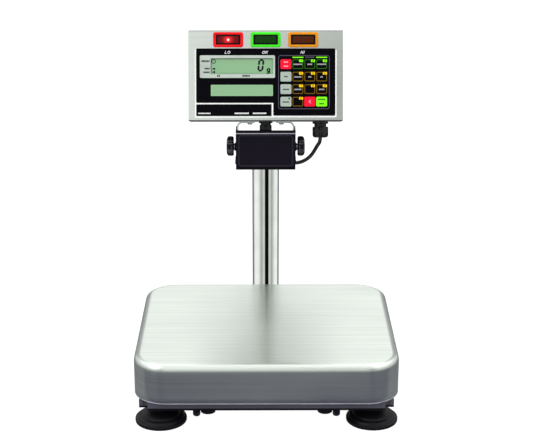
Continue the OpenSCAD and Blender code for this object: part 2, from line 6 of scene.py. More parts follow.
import bmesh
import bpy
import numpy as np
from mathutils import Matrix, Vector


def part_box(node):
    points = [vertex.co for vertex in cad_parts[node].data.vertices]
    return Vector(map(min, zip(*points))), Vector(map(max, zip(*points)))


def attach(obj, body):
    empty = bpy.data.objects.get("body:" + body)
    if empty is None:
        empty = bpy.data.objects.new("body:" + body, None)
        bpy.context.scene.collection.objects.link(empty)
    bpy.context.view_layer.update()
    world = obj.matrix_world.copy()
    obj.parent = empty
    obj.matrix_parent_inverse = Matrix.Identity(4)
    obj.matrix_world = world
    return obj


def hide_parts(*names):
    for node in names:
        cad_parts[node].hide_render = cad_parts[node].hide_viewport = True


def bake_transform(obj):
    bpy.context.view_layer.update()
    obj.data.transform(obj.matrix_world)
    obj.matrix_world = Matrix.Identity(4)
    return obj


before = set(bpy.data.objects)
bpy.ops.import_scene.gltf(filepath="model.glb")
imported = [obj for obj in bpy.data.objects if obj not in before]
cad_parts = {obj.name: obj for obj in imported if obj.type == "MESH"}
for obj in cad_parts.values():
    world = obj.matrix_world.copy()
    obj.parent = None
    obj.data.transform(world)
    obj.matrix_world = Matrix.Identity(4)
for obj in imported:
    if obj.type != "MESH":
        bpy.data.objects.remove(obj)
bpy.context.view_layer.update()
logging.basicConfig(level=logging.INFO, format="%(message)s")
LOG = logging.getLogger("bench_scale")

Vec3 = tuple[float, float, float]
MM = 0.001


# ---- Material graph ----


class Graph:
    """The node graph of a material or a world, with short ways to add and join its nodes."""

    def __init__(self, owner: bpy.types.Material | bpy.types.World) -> None:
        """Take up the owner's nodes."""
        owner.use_nodes = True
        self.nodes, self.links = owner.node_tree.nodes, owner.node_tree.links
        self.surface = self.nodes.get("Principled BSDF")

    def feed(self, socket: bpy.types.NodeSocket, value: object) -> None:
        """Join a socket to another one, or give it a constant."""
        if isinstance(value, bpy.types.NodeSocket):
            self.links.new(value, socket)
        else:
            socket.default_value = value

    def node(self, kind: str, feeds: dict[str | int, object], **settings: object) -> bpy.types.Node:
        """Add a node.

        Args:
            kind: The node's type.
            feeds: A constant or a socket for each named or numbered input.
            settings: The node's own properties.

        Returns:
            The new node.
        """
        made = self.nodes.new(kind)
        for key, value in settings.items():
            setattr(made, key, value)
        for key, value in feeds.items():
            self.feed(made.inputs[key], value)
        return made

    def placed(self, scale: Vec3, turn: Vec3 = (0, 0, 0), shift: Vec3 = (0, 0, 0)) -> bpy.types.NodeSocket:
        """Object coordinates, shifted, turned and scaled."""
        here = self.node("ShaderNodeTexCoord", {}).outputs["Object"]
        moved = self.node("ShaderNodeVectorMath", {0: here, 1: shift}, operation="ADD").outputs[0]
        turned = self.node("ShaderNodeVectorRotate", {"Vector": moved, "Rotation": turn}, rotation_type="EULER_XYZ")
        return self.node("ShaderNodeVectorMath", {0: turned.outputs[0], 1: scale}, operation="MULTIPLY").outputs[0]

    def sheet(self, scale: Vec3) -> bpy.types.NodeSocket:
        """The piece's own UV map in metres, scaled."""
        here = self.node("ShaderNodeUVMap", {}, uv_map=UV_NAME).outputs[0]
        return self.node("ShaderNodeVectorMath", {0: here, 1: scale}, operation="MULTIPLY").outputs[0]

    def noise(self, vector: bpy.types.NodeSocket, scale: float, detail: float = 2.0) -> bpy.types.NodeSocket:
        """Noise between about 0.3 and 0.7."""
        feeds = {"Vector": vector, "Scale": scale, "Detail": detail, "Roughness": 0.55}
        return self.node("ShaderNodeTexNoise", feeds).outputs[0]

    def cells(self, vector: bpy.types.NodeSocket, scale: float) -> bpy.types.NodeSocket:
        """Distance from the middle of the nearest cell."""
        return self.node("ShaderNodeTexVoronoi", {"Vector": vector, "Scale": scale}).outputs[0]

    def span(self, value: bpy.types.NodeSocket, low: float, high: float, to_low: float,
             to_high: float) -> bpy.types.NodeSocket:
        """Carry low..high to to_low..to_high, clamped."""
        return self.node("ShaderNodeMapRange", {0: value, 1: low, 2: high, 3: to_low, 4: to_high}).outputs[0]

    def sums(self, kind: str, first: object, second: object = 0.0) -> bpy.types.NodeSocket:
        """One step of arithmetic on two values."""
        return self.node("ShaderNodeMath", {0: first, 1: second}, operation=kind).outputs[0]

    def tint(self, factor: object, first: object, second: object) -> bpy.types.NodeSocket:
        """Mix two colours."""
        made = self.nodes.new("ShaderNodeMix")
        made.data_type = "RGBA"
        for socket, value in ((made.inputs[0], factor), (made.inputs[6], first), (made.inputs[7], second)):
            self.feed(socket, (*value, 1.0) if isinstance(value, tuple) else value)
        return made.outputs[2]

    def shade(self, factor: bpy.types.NodeSocket, colour: Vec3, low: float, high: float) -> bpy.types.NodeSocket:
        """The colour at low times its value where the factor is 0, and high times where it is 1."""
        dark, light = (tuple(c * k for c in colour) for k in (low, high))
        return self.tint(factor, dark, light)

    def bump(self, height: bpy.types.NodeSocket, strength: float, depth: float) -> None:
        """Bump the surface by a height that stands depth metres proud at 1."""
        made = self.node("ShaderNodeBump", {"Strength": strength, "Distance": depth, "Height": height})
        self.links.new(made.outputs[0], self.surface.inputs["Normal"])

    def dress(self, **feeds: object) -> None:
        """Feed the shader's own sockets, named with _ for a space."""
        for key, value in feeds.items():
            value = (*value, 1.0) if isinstance(value, tuple) and len(value) == 3 else value
            self.feed(self.surface.inputs[key.replace("_", " ")], value)


UV_NAME = "Sheet"
LEAN = math.radians(16.0)


# ---- Finishes ----


@dataclass(frozen=True)
class Finish:
    """A finish: a named material, made once."""

    name: str
    colour: Vec3
    roughness: float = 0.4

    def material(self) -> bpy.types.Material:
        """The finish's material, made the first time that it is asked for."""
        found = bpy.data.materials.get(self.name)
        if found is None:
            found = bpy.data.materials.new(self.name)
            self.paint(Graph(found))
        return found

    def paint(self, graph: Graph) -> None:
        """Lay the finish on a graph."""
        raise NotImplementedError


@dataclass(frozen=True)
class BrushedSteel(Finish):
    """Stainless sheet with a grain along X, and along the rim of a skirt where the sheet has its own map."""

    grain: float = 1.0
    mapped: bool = False
    spread: float = 0.0
    coat: float = 0.0

    def paint(self, graph: Graph) -> None:
        """Fine and broad streaks, long along the grain, over soft clouds of haze."""
        if self.mapped:
            streaks, broad, cloud = (graph.sheet(s) for s in ((5, 1100, 0), (2.2, 240, 0), (6, 9, 0)))
        else:
            lean = (-LEAN, 0, 0)
            streaks, broad = graph.placed((5, 60, 1500), lean), graph.placed((3, 30, 420), lean)
            cloud = graph.placed((7, 7, 9))
        fine, wide, haze = graph.noise(streaks, 1, 3), graph.noise(broad, 1, 2), graph.noise(cloud, 1, 2)
        lines = graph.tint(0.6, graph.shade(fine, (1, 1, 1), 0, 1), graph.shade(wide, (1, 1, 1), 0, 1))
        height = graph.span(lines, 0.2, 0.8, 0.0, 1.0)
        tone = graph.span(graph.sums("ADD", height, graph.sums("MULTIPLY", haze, 0.5)), 0.35, 1.15, 0.0, 1.0)
        level = graph.span(haze, 0.1, 0.9, self.roughness - 0.04, self.roughness + 0.05)
        graph.dress(Base_Color=graph.shade(tone, self.colour, 1 - 0.17 * self.grain, 1 + 0.13 * self.grain),
                    Metallic=1.0, Roughness=level)
        if self.coat:
            graph.dress(Coat_Weight=self.coat, Coat_Roughness=0.12, Coat_IOR=2.2)
        if self.spread:
            tangent = graph.node("ShaderNodeTangent", {}, direction_type="UV_MAP", uv_map=UV_NAME)
            graph.dress(Anisotropic=self.spread, Anisotropic_Rotation=0.25, Tangent=tangent.outputs[0])
        graph.bump(height, 0.35 * self.grain, 0.00002)


@dataclass(frozen=True)
class BareMetal(Finish):
    """Plated or polished metal, with faint turning marks round Z and a little tarnish."""

    marks: float = 0.3
    spangle: float = 0.0

    def paint(self, graph: Graph) -> None:
        """Rings along Z, clouds of tarnish, and a spangle of flat crystals on zinc."""
        rings = graph.noise(graph.placed((40, 40, 2600)), 1, 2)
        cloud = graph.noise(graph.placed((60, 60, 40)), 1, 3)
        tone = graph.tint(self.spangle, graph.shade(cloud, (1, 1, 1), 0, 1),
                          graph.shade(graph.cells(graph.placed((240, 240, 240)), 1), (1, 1, 1), 0, 1))
        graph.dress(Base_Color=graph.shade(graph.span(tone, 0.25, 0.75, 0, 1), self.colour, 0.9, 1.06),
                    Metallic=1.0, Roughness=graph.span(cloud, 0.3, 0.7, self.roughness * 0.8, self.roughness * 1.25))
        graph.bump(rings, self.marks, 0.000012)


@dataclass(frozen=True)
class Paint(Finish):
    """Powder coat: a fine orange peel over sheet metal, thinner and brighter in spots."""

    peel: float = 900.0
    gloss: float = 0.5
    shadow: float = 0.0

    def paint(self, graph: Graph) -> None:
        """Peel bumps at two sizes, the colour a shade lighter and darker in soft clouds, and painted shade: near black
        below the shadow height.
        """
        place = graph.placed((1, 1, 1))
        peel, grit = graph.noise(place, self.peel, 2), graph.noise(place, self.peel * 4, 1)
        cloud = graph.noise(place, 14, 3)
        height = graph.sums("ADD", peel, graph.sums("MULTIPLY", grit, 0.35))
        colour = graph.shade(graph.span(cloud, 0.3, 0.7, 0, 1), self.colour, 0.85, 1.15)
        # Painted shade: below the shadow height the colour falls to near black, standing in for shade along the lower
        # edge.
        if self.shadow:
            height_up = graph.node("ShaderNodeSeparateXYZ", {0: place}).outputs[2]
            under = graph.span(height_up, self.shadow - 0.0004, self.shadow + 0.0004, 1.0, 0.0)
            colour = graph.tint(under, colour, (0.004, 0.0036, 0.006))
        graph.dress(Base_Color=colour,
                    Roughness=graph.span(peel, 0.3, 0.7, self.roughness - 0.07, self.roughness + 0.07),
                    Specular_IOR_Level=self.gloss)
        graph.bump(height, 0.4, 0.00006)


@dataclass(frozen=True)
class Moulded(Finish):
    """Moulded plastic or rubber: a spark-eroded grain with faint flow marks."""

    grain: float = 0.4
    size: float = 1400.0
    gloss: float = 0.5
    coat: float = 0.0

    def paint(self, graph: Graph) -> None:
        """Grain bumps, flow marks in the colour, and a rubbed sheen in patches."""
        place = graph.placed((1, 1, 1))
        grain, flow = graph.noise(place, self.size, 2), graph.noise(graph.placed((20, 20, 50)), 1, 3)
        graph.dress(Base_Color=graph.shade(graph.span(flow, 0.3, 0.7, 0, 1), self.colour, 0.86, 1.12),
                    Roughness=graph.span(flow, 0.3, 0.7, self.roughness - 0.05, self.roughness + 0.07),
                    Specular_IOR_Level=self.gloss, Coat_Weight=self.coat, Coat_Roughness=0.08)
        graph.bump(grain, self.grain, 0.00004)


@dataclass(frozen=True)
class Ink(Finish):
    """Printed film: an even colour under a fine satin texture."""

    glow: float = 0.0
    gloss: float = 0.03

    def paint(self, graph: Graph) -> None:
        """A satin weave of tiny bumps, with the ink a little uneven, and glow as an emission of the ink's own colour:
        painted light.
        """
        place = graph.placed((1, 1, 1))
        satin, pool = graph.noise(place, 4200, 1), graph.noise(place, 160, 2)
        graph.dress(Base_Color=graph.shade(graph.span(pool, 0.3, 0.7, 0, 1), self.colour, 0.93, 1.05),
                    Roughness=graph.span(satin, 0.3, 0.7, self.roughness - 0.05, self.roughness + 0.05),
                    Specular_IOR_Level=self.gloss, Emission_Color=self.colour, Emission_Strength=self.glow)
        graph.bump(satin, 0.15, 0.00001)


@dataclass(frozen=True)
class Crystal(Finish):
    """A reflective liquid-crystal glass: a faint mesh of cells and a slow change of tone across it."""

    glow: float = 0.0

    def paint(self, graph: Graph) -> None:
        """A grid of thin lines over a soft cloud."""
        place = graph.placed((1, 1, 1), (-LEAN, 0, 0))
        fields = graph.node("ShaderNodeSeparateXYZ", {0: place}).outputs
        columns = graph.sums("PINGPONG", fields[0], 0.00045)
        rows = graph.sums("PINGPONG", fields[2], 0.00045)
        mesh = graph.span(graph.sums("MINIMUM", columns, rows), 0.0, 0.00008, 0.0, 1.0)
        cloud = graph.noise(graph.placed((22, 22, 30)), 1, 2)
        tone = graph.sums("MULTIPLY", graph.span(mesh, 0, 1, 0.55, 1), graph.span(cloud, 0.3, 0.7, 0.8, 1))
        graph.dress(Base_Color=graph.shade(tone, self.colour, 0.88, 1.06), Roughness=self.roughness,
                    Specular_IOR_Level=0.2, Emission_Color=self.colour, Emission_Strength=self.glow)
        graph.bump(mesh, 0.05, 0.00001)


@dataclass(frozen=True)
class LampGlass(Finish):
    """A tinted window over a woven diffuser; a lit one glows from a point behind its middle."""

    centre: Vec3 = (0, 0, 0)
    lit: float = 0.0

    def paint(self, graph: Graph) -> None:
        """Diamond cells of the diffuser; light falls off with distance from the middle."""
        place = graph.placed((1, 1, 1), (-LEAN, 0, 0))
        fields = graph.node("ShaderNodeSeparateXYZ", {0: place}).outputs
        slant = graph.sums("PINGPONG", graph.sums("ADD", fields[0], fields[2]), 0.0007)
        other = graph.sums("PINGPONG", graph.sums("SUBTRACT", fields[0], fields[2]), 0.0007)
        weave = graph.span(graph.sums("MULTIPLY", slant, other), 0.0, 0.0000003, 0.0, 1.0)
        graph.dress(Base_Color=graph.shade(weave, self.colour, 0.3, 1.6), Roughness=self.roughness,
                    Specular_IOR_Level=0.12)
        graph.bump(weave, 0.3, 0.0001)
        if self.lit:
            here = graph.node("ShaderNodeTexCoord", {}).outputs["Object"]
            away = graph.node("ShaderNodeVectorMath", {0: here, 1: self.centre}, operation="DISTANCE").outputs["Value"]
            halo = graph.span(away, 0.0008, 0.0125, 1.0, 0.0)
            core = graph.span(away, 0.0002, 0.0024, 1.0, 0.0)
            woven = graph.sums("MULTIPLY", graph.sums("POWER", halo, 2.2), graph.span(weave, 0, 1, 0.8, 2.2))
            power = graph.sums("ADD", woven, graph.sums("MULTIPLY", core, self.lit))
            graph.dress(Emission_Color=graph.tint(core, (1.0, 0.02, 0.03), (1.0, 0.62, 0.55)), Emission_Strength=power)


@dataclass(frozen=True)
class ClearGlass(Finish):
    """Tinted liquid under clear plastic, as in a bubble level."""

    def paint(self, graph: Graph) -> None:
        """Tinted and glossy, with a slow change of depth."""
        cloud = graph.noise(graph.placed((200, 200, 200)), 1, 2)
        graph.dress(Base_Color=graph.shade(cloud, self.colour, 0.85, 1.15), Roughness=self.roughness,
                    Transmission_Weight=0.35, Coat_Weight=1.0, Coat_Roughness=0.03)


class Metals:
    """Bare and brushed metals."""

    PAN = BrushedSteel("pan_brushed_steel", (0.605, 0.662, 0.608), 0.36, grain=1.0, mapped=True, spread=0.75, coat=0.6)
    # A lighter metal for the pan's hem: painted highlight.
    HEM = BareMetal("pan_hem_painted_highlight", (0.80, 0.80, 0.84), 0.5, marks=0.05)
    CASE = BrushedSteel("case_satin_steel", (0.66, 0.715, 0.675), 0.26, grain=0.35)
    POLE = BareMetal("pole_polished_steel", (0.86, 0.88, 0.86), 0.045, marks=0.03)
    ZINC = BareMetal("zinc_plate", (0.60, 0.60, 0.64), 0.30, spangle=0.45)
    SCREW = BareMetal("stainless_screw", (0.66, 0.67, 0.66), 0.26)
    ALLOY = BareMetal("cell_aluminium", (0.72, 0.73, 0.74), 0.36)


class Coats:
    """Paints, plastics and rubber."""

    # Near black below 33.2 mm: painted shade along the frame's lower edge.
    FRAME = Paint("frame_grey_paint_painted_shade", (0.062, 0.060, 0.082), 0.42, gloss=0.2, shadow=0.0332)
    HEAD = Paint("head_black_paint", (0.0075, 0.0055, 0.0120), 0.46, peel=1300, gloss=0.10)
    # Lighter line on the head's pressed border: painted highlight.
    HEAD_BORDER_HIGHLIGHT = Paint("head_border_painted_highlight", (0.034, 0.030, 0.046), 0.40, peel=1300, gloss=0.15)
    # A light strip for the head's top bend: painted highlight.
    HEAD_BEND_HIGHLIGHT = Paint("head_bend_painted_highlight", (0.44, 0.44, 0.50), 0.34, peel=1300, gloss=0.5)
    HEM = Paint("case_hem_shadow", (0.022, 0.020, 0.030), 0.45, peel=1300, gloss=0.2)
    BLACK_SCREW = Paint("black_screw_oxide", (0.016, 0.013, 0.024), 0.33, peel=2400, gloss=0.3)
    KNOB = Moulded("knob_gloss_plastic", (0.0045, 0.0035, 0.0075), 0.15, grain=0.10, gloss=0.7)
    FOOT = Moulded("foot_moulded_plastic", (0.0045, 0.0042, 0.0065), 0.40, grain=0.5, gloss=0.14)
    GLAND = Moulded("gland_nylon", (0.0050, 0.0045, 0.0070), 0.28, grain=0.35, gloss=0.40)
    RUBBER = Moulded("soft_rubber", (0.012, 0.012, 0.013), 0.62, grain=0.8, size=900, gloss=0.3)
    JACKET = Moulded("cable_pvc", (0.010, 0.010, 0.012), 0.30, grain=0.25, size=700, gloss=0.7)
    BEZEL = Moulded("bezel_grey_plastic", (0.45, 0.51, 0.46), 0.40, grain=0.3, gloss=0.3)
    BOARD = Paint("board_resist", (0.010, 0.085, 0.030), 0.32, peel=500)
    CHIP = Moulded("lamp_inner_border", (0.003, 0.003, 0.004), 0.45, gloss=0.08)
    LAMP_RED = Moulded("lamp_red_moulding", (0.86, 0.004, 0.010), 0.28, grain=0.08, gloss=0.14)
    LAMP_GREEN = Moulded("lamp_green_moulding", (0.045, 0.72, 0.012), 0.28, grain=0.08, gloss=0.14)
    LAMP_AMBER = Moulded("lamp_amber_moulding", (0.70, 0.25, 0.004), 0.28, grain=0.08, gloss=0.14)


class Inks:
    """Film, key and display colours."""

    FILM = Ink("overlay_black_film", (0.0020, 0.0018, 0.0034), 0.34)
    WHITE = Ink("ink_white", (0.86, 0.87, 0.86), 0.40)
    SOFT_WHITE = Ink("ink_soft_white", (0.42, 0.42, 0.44), 0.40)
    # The bead's white is partly the film's own border and partly a painted highlight, with a faint painted glow.
    BEAD_WHITE_AND_HIGHLIGHT = Ink("overlay_bead_white_and_highlight", (0.93, 0.94, 0.93), 0.35, glow=0.10)
    # Dark green-grey for the display's top and left edges: painted shadow of the bezel.
    EDGE_SHADOW = Ink("display_edge_painted_shadow", (0.075, 0.13, 0.080), 0.5)
    LINE = Ink("ink_field_line", (0.085, 0.080, 0.115), 0.40)
    # The red and green caps, the green bars on the film and the yellow tabs glow a little: painted light, as none of
    # them is a lamp.
    RED = Ink("key_cap_red_painted_glow", (0.88, 0.009, 0.034), 0.36, glow=0.12)
    GREY = Ink("key_cap_grey", (0.38, 0.45, 0.40), 0.40)
    GREEN = Ink("key_cap_green_painted_glow", (0.20, 0.88, 0.012), 0.36, glow=0.10)
    BLACK = Ink("key_cap_black", (0.0020, 0.0018, 0.0034), 0.36)
    GREEN_LINE = Ink("key_line_green", (0.028, 0.15, 0.009), 0.40)
    YELLOW_LINE = Ink("key_line_yellow", (0.20, 0.11, 0.006), 0.40)
    YELLOW = Ink("tab_yellow_painted_glow", (0.92, 0.60, 0.005), 0.40, glow=0.06)
    DARK = Ink("ink_dark", (0.008, 0.008, 0.012), 0.45)
    PINK = Ink("ink_pale_pink", (0.90, 0.42, 0.52), 0.40)
    LCD = Crystal("display_glass", (0.232, 0.410, 0.232), 0.28)
    LCD_EDGE = Crystal("display_edge_glass", (0.28, 0.50, 0.27), 0.28)
    GLASS_RED = LampGlass("lamp_red_glass", (0.17, 0.003, 0.005), 0.22, centre=(-0.0576, 0.137, 0.4970), lit=4.0)
    GLASS_GREEN = LampGlass("lamp_green_glass", (0.003, 0.048, 0.001), 0.22)
    GLASS_AMBER = LampGlass("lamp_amber_glass", (0.090, 0.014, 0.0008), 0.22)
    LIQUID = ClearGlass("level_liquid", (0.62, 0.78, 0.10), 0.08)
    BUBBLE = ClearGlass("level_bubble", (0.86, 0.93, 0.62), 0.05)


# ---- Surfaces ----


def grid_faces(rows: int, columns: int, wrap: bool = True, close: bool = False) -> np.ndarray:
    """Quads of a grid of points.

    Args:
        rows: Count of rings.
        columns: Count of points on a ring.
        wrap: Whether the last column joins the first.
        close: Whether the last ring joins the first.

    Returns:
        An n x 4 array of point numbers.
    """
    row = np.arange(rows if close else rows - 1)[:, None]
    column = np.arange(columns if wrap else columns - 1)[None, :]
    here, over = row * columns + column, row * columns + (column + 1) % columns
    step, far = (row + 1) % rows * columns + column, (row + 1) % rows * columns + (column + 1) % columns
    return np.stack([here, over, far, step], -1).reshape(-1, 4)


def rounded_outline(half: tuple[float, float], radius: float, middle: tuple[float, float] = (0, 0),
                    steps: int = 8) -> np.ndarray:
    """A rounded rectangle, as four quarter circles joined by straight sides.

    Args:
        half: Half of its width and half of its height.
        radius: Radius of its corners.
        middle: Its middle.
        steps: Spans on each quarter circle.

    Returns:
        A 4 (steps + 1) x 2 array, anticlockwise from the right side.
    """
    radius = max(min(radius, *half), 1e-6)
    turn = np.linspace(0, math.pi / 2, steps + 1)
    angle = (np.arange(4)[:, None] * math.pi / 2 + turn).ravel()
    corner = np.repeat(np.array([[1, 1], [-1, 1], [-1, -1], [1, -1]]), steps + 1, 0)
    return corner * (np.array(half) - radius) + radius * np.stack([np.cos(angle), np.sin(angle)], -1) + middle


def rings(sections: list[tuple[float, float, float, float]], middle: tuple[float, float] = (0, 0),
          steps: int = 8) -> np.ndarray:
    """A closed stack of rounded rectangles in the case's x-z plane, drawn to a point at either end.

    Args:
        sections: Half width, half height, corner radius and depth of each section, from the back.
        middle: The middle of them all.
        steps: Spans on each quarter circle.

    Returns:
        A rings x points x 3 grid, as x, depth and z.
    """
    outlines = [rounded_outline((a, b), r, middle, steps) for a, b, r, _ in sections]
    outlines = [np.broadcast_to(middle, outlines[0].shape), *outlines, np.broadcast_to(middle, outlines[0].shape)]
    depth = np.array([sections[0][3], *(s[3] for s in sections), sections[-1][3]])
    flat = np.stack(outlines)
    return np.stack([flat[..., 0], np.broadcast_to(depth[:, None], flat.shape[:2]), flat[..., 1]], -1)


def lathe(profile: list[tuple[float, float]], segments: int = 64, lobes: int = 0, swell: float = 0.0) -> np.ndarray:
    """A profile turned round Z; lobes make each radius 1 + swell x cos(lobes x angle) times itself.

    Args:
        profile: Radius and height of each point, in order.
        segments: Points round a turn.
        lobes: Count of lobes, or 0 for a true round.
        swell: Height of a lobe as a share of the radius.

    Returns:
        A profile x segments x 3 grid.
    """
    shape = np.array(profile)
    angle = np.linspace(0, 2 * math.pi, segments, endpoint=False)
    wave = 1 + swell * np.cos(lobes * angle) if lobes else np.ones(segments)
    radius = shape[:, :1] * wave[None, :]
    return np.stack([radius * np.cos(angle), radius * np.sin(angle), np.repeat(shape[:, 1:], segments, 1)], -1)


def threaded(radius: float, low: float, high: float, pitch: float, depth: float, segments: int = 24,
             tip: float = 0.8) -> np.ndarray:
    """A bolt's shank: rings whose radius rises and falls once a pitch, turned with the angle so that it is a helix."""
    count = max(int((high - low) / pitch * 4), 4) + 1
    height = np.linspace(low, high, count)
    angle = np.linspace(0, 2 * math.pi, segments, endpoint=False)
    phase = height[:, None] / pitch - angle[None, :] / (2 * math.pi)
    wave = radius - depth * np.abs(2 * (phase % 1) - 1)
    fade = np.clip(np.minimum(height - low, high - height) / tip, 0, 1)[:, None]
    wave = wave * fade + (radius - depth - 0.3) * (1 - fade)
    body = np.stack([wave * np.cos(angle), wave * np.sin(angle), np.repeat(height[:, None], segments, 1)], -1)
    ends = np.zeros((1, segments, 3))
    return np.concatenate([ends + [0, 0, low], body, ends + [0, 0, high]])


def hexagon(radius: float, low: float, high: float, chamfer: float = 0.5, bore: float = 0.0) -> np.ndarray:
    """A hexagon's wall with its chamfered rims, round a bore if it has one."""
    angle = np.linspace(0, 2 * math.pi, 48, endpoint=False)
    across = radius * math.cos(math.pi / 6)
    flat = across / np.cos((angle + math.pi / 6) % (math.pi / 3) - math.pi / 6)
    crown = np.minimum(flat, across + chamfer * 0.3)
    inner = np.full_like(angle, bore)
    radii = np.stack([inner, crown, flat, flat, crown, inner])
    heights = np.array([low, low, low + chamfer, high - chamfer, high, high])
    grid = np.stack([radii * np.cos(angle), radii * np.sin(angle), np.repeat(heights[:, None], 48, 1)], -1)
    return np.concatenate([grid, grid[:1]]) if bore else grid


def tube_along(path: np.ndarray, radius: float, sides: int = 16) -> np.ndarray:
    """A closed tube: rings square to the path, each in the frame of its tangent and a steady side vector."""
    tangent = np.gradient(path, axis=0)
    tangent /= np.linalg.norm(tangent, axis=1, keepdims=True)
    first = np.cross(tangent, [1, -1, -0.6])
    first /= np.linalg.norm(first, axis=1, keepdims=True)
    second = np.cross(tangent, first)
    angle = np.linspace(0, 2 * math.pi, sides, endpoint=False)
    ring = first[:, None] * np.cos(angle)[None, :, None] + second[:, None] * np.sin(angle)[None, :, None]
    body = path[:, None] + radius * ring
    ends = [np.broadcast_to(path[k], (1, sides, 3)) for k in (0, -1)]
    return np.concatenate([ends[0], body, ends[1]])


def smooth_route(points: np.ndarray, steps: int = 8) -> np.ndarray:
    """A Catmull-Rom curve: each span is a cubic whose end slopes are half of its neighbours' span."""
    ends = np.concatenate([points[:1], points, points[-1:]])
    a, b, c, d = (ends[k:len(ends) - 3 + k][:, None] for k in range(4))
    t = np.linspace(0, 1, steps, endpoint=False)[None, :, None]
    curve = 0.5 * (2 * b + (c - a) * t + (2 * a - 5 * b + 4 * c - d) * t**2 + (3 * b - a - 3 * c + d) * t**3)
    return np.concatenate([curve.reshape(-1, 3), points[-1:]])


def turned(points: np.ndarray, axis: str, middle: Vec3) -> np.ndarray:
    """Points drawn round Z laid along another axis and moved: x and y stand for Z turned onto that axis."""
    order = {"z": points, "x": np.stack([points[..., 2], points[..., 0], points[..., 1]], -1),
             "y": np.stack([points[..., 1], points[..., 2], points[..., 0]], -1)}[axis]
    return order + np.array(middle)


@dataclass
class Piece:
    """One named piece: shells in millimetres gathered in one mesh, each with its finish."""

    name: str
    points: list[np.ndarray] = field(default_factory=list)
    faces: list[np.ndarray] = field(default_factory=list)
    maps: list[np.ndarray] = field(default_factory=list)
    finishes: list[Finish] = field(default_factory=list)
    marks: list[np.ndarray] = field(default_factory=list)
    count: int = 0

    def shell(self, grid: np.ndarray, finish: Finish, wrap: bool = True, close: bool = False,
              sheet: np.ndarray | None = None) -> "Piece":
        """Add a grid of points.

        Args:
            grid: A rows x columns x 3 array, in millimetres.
            finish: Its finish.
            wrap: Whether the last column joins the first.
            close: Whether the last ring joins the first.
            sheet: The place of each point on the unfolded sheet, in metres.

        Returns:
            The piece.
        """
        rows, columns = grid.shape[:2]
        flat = grid.reshape(-1, 3)
        where = flat[:, [0, 2]] * MM if sheet is None else sheet.reshape(-1, 2)
        return self.add(flat, grid_faces(rows, columns, wrap, close), finish, where)

    def add(self, points: np.ndarray, faces: np.ndarray, finish: Finish, where: np.ndarray) -> "Piece":
        """Add points and their quads or triangles, in millimetres."""
        if finish not in self.finishes:
            self.finishes.append(finish)
        self.points.append(points)
        self.faces.append(faces + self.count)
        self.maps.append(where)
        self.marks.append(np.full(len(faces), self.finishes.index(finish)))
        self.count += len(points)
        return self

    def build(self, body: str, slot: str, replaces: tuple[str, ...] = (), place: "CaseAxes | Vec3" = (0, 0, 0),
              sharp: float = 32.0) -> bpy.types.Object:
        """Make the object.

        Args:
            body: The body that it rides on.
            slot: Its material slot; not used.
            replaces: The nodes that it stands for.
            place: The case's axes, or a shift in millimetres.
            sharp: Edges that turn more than this many degrees are sharp.

        Returns:
            The object, at the origin, with outward faces.
        """
        points = np.concatenate(self.points)
        points = place.to_row(points) if isinstance(place, CaseAxes) else (points + np.array(place)) * MM
        marks, maps = np.concatenate(self.marks), np.concatenate(self.maps)
        corners = np.concatenate([f.ravel() for f in self.faces])
        sizes = np.concatenate([np.full(len(f), f.shape[1]) for f in self.faces])
        mesh = bpy.data.meshes.new(self.name)
        mesh.vertices.add(len(points))
        mesh.vertices.foreach_set("co", points.ravel())
        mesh.loops.add(len(corners))
        mesh.loops.foreach_set("vertex_index", corners)
        mesh.polygons.add(len(sizes))
        mesh.polygons.foreach_set("loop_start", np.cumsum(sizes) - sizes)
        mesh.polygons.foreach_set("material_index", marks)
        mesh.uv_layers.new(name=UV_NAME).uv.foreach_set("vector", maps[corners].ravel())
        mesh.update(calc_edges=True)
        shape = bmesh.new()
        shape.from_mesh(mesh)
        bmesh.ops.remove_doubles(shape, verts=shape.verts, dist=2e-6)
        bmesh.ops.dissolve_degenerate(shape, edges=shape.edges, dist=1e-7)
        bmesh.ops.recalc_face_normals(shape, faces=shape.faces)
        shape.to_mesh(mesh)
        shape.free()
        return finished(self.name, mesh, [f.material() for f in self.finishes], body, replaces, sharp)


def finished(name: str, mesh: bpy.types.Mesh, materials: list[bpy.types.Material], body: str,
             replaces: tuple[str, ...], sharp: float) -> bpy.types.Object:
    """Dress a mesh in its materials, link it as a piece, set its body, and hide the nodes that it stands for."""
    for material in materials:
        mesh.materials.append(material)
    mesh.polygons.foreach_set("use_smooth", np.ones(len(mesh.polygons), bool))
    mesh.set_sharp_from_angle(angle=math.radians(sharp))
    made = bpy.data.objects.new(name, mesh)
    bpy.context.scene.collection.objects.link(made)
    if body:
        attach(made, body)
    if replaces:
        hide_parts(*replaces)
    LOG.info("%s: %d faces on %s", name, len(mesh.polygons), body or "two bodies")
    return made


def refined(node: str, finish: Finish, body: str, edge: float = 0.4,
            sharp: float = 32.0) -> bpy.types.Object:
    """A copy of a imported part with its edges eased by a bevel, in its finish.

    Args:
        node: The part.
        finish: Its finish.
        body: The body that it rides on.
        edge: Width of the bevel in millimetres.
        sharp: Edges that turn more than this many degrees are eased.

    Returns:
        The piece that stands for the part.
    """
    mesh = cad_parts[node].data.copy()
    mesh.name = node + "_refined"
    shape = bmesh.new()
    shape.from_mesh(mesh)
    bmesh.ops.remove_doubles(shape, verts=shape.verts, dist=2e-6)
    bmesh.ops.dissolve_limit(shape, angle_limit=math.radians(0.6), verts=shape.verts, edges=shape.edges)
    shape.to_mesh(mesh)
    shape.free()
    mesh.materials.clear()
    made = finished(node + "_refined", mesh, [finish.material()], body, (node,), sharp)
    eased = made.modifiers.new("Eased edges", "BEVEL")
    eased.width, eased.segments = edge * MM, 2
    eased.limit_method, eased.angle_limit = "ANGLE", math.radians(sharp)
    eased.harden_normals, eased.use_clamp_overlap = True, True
    return made


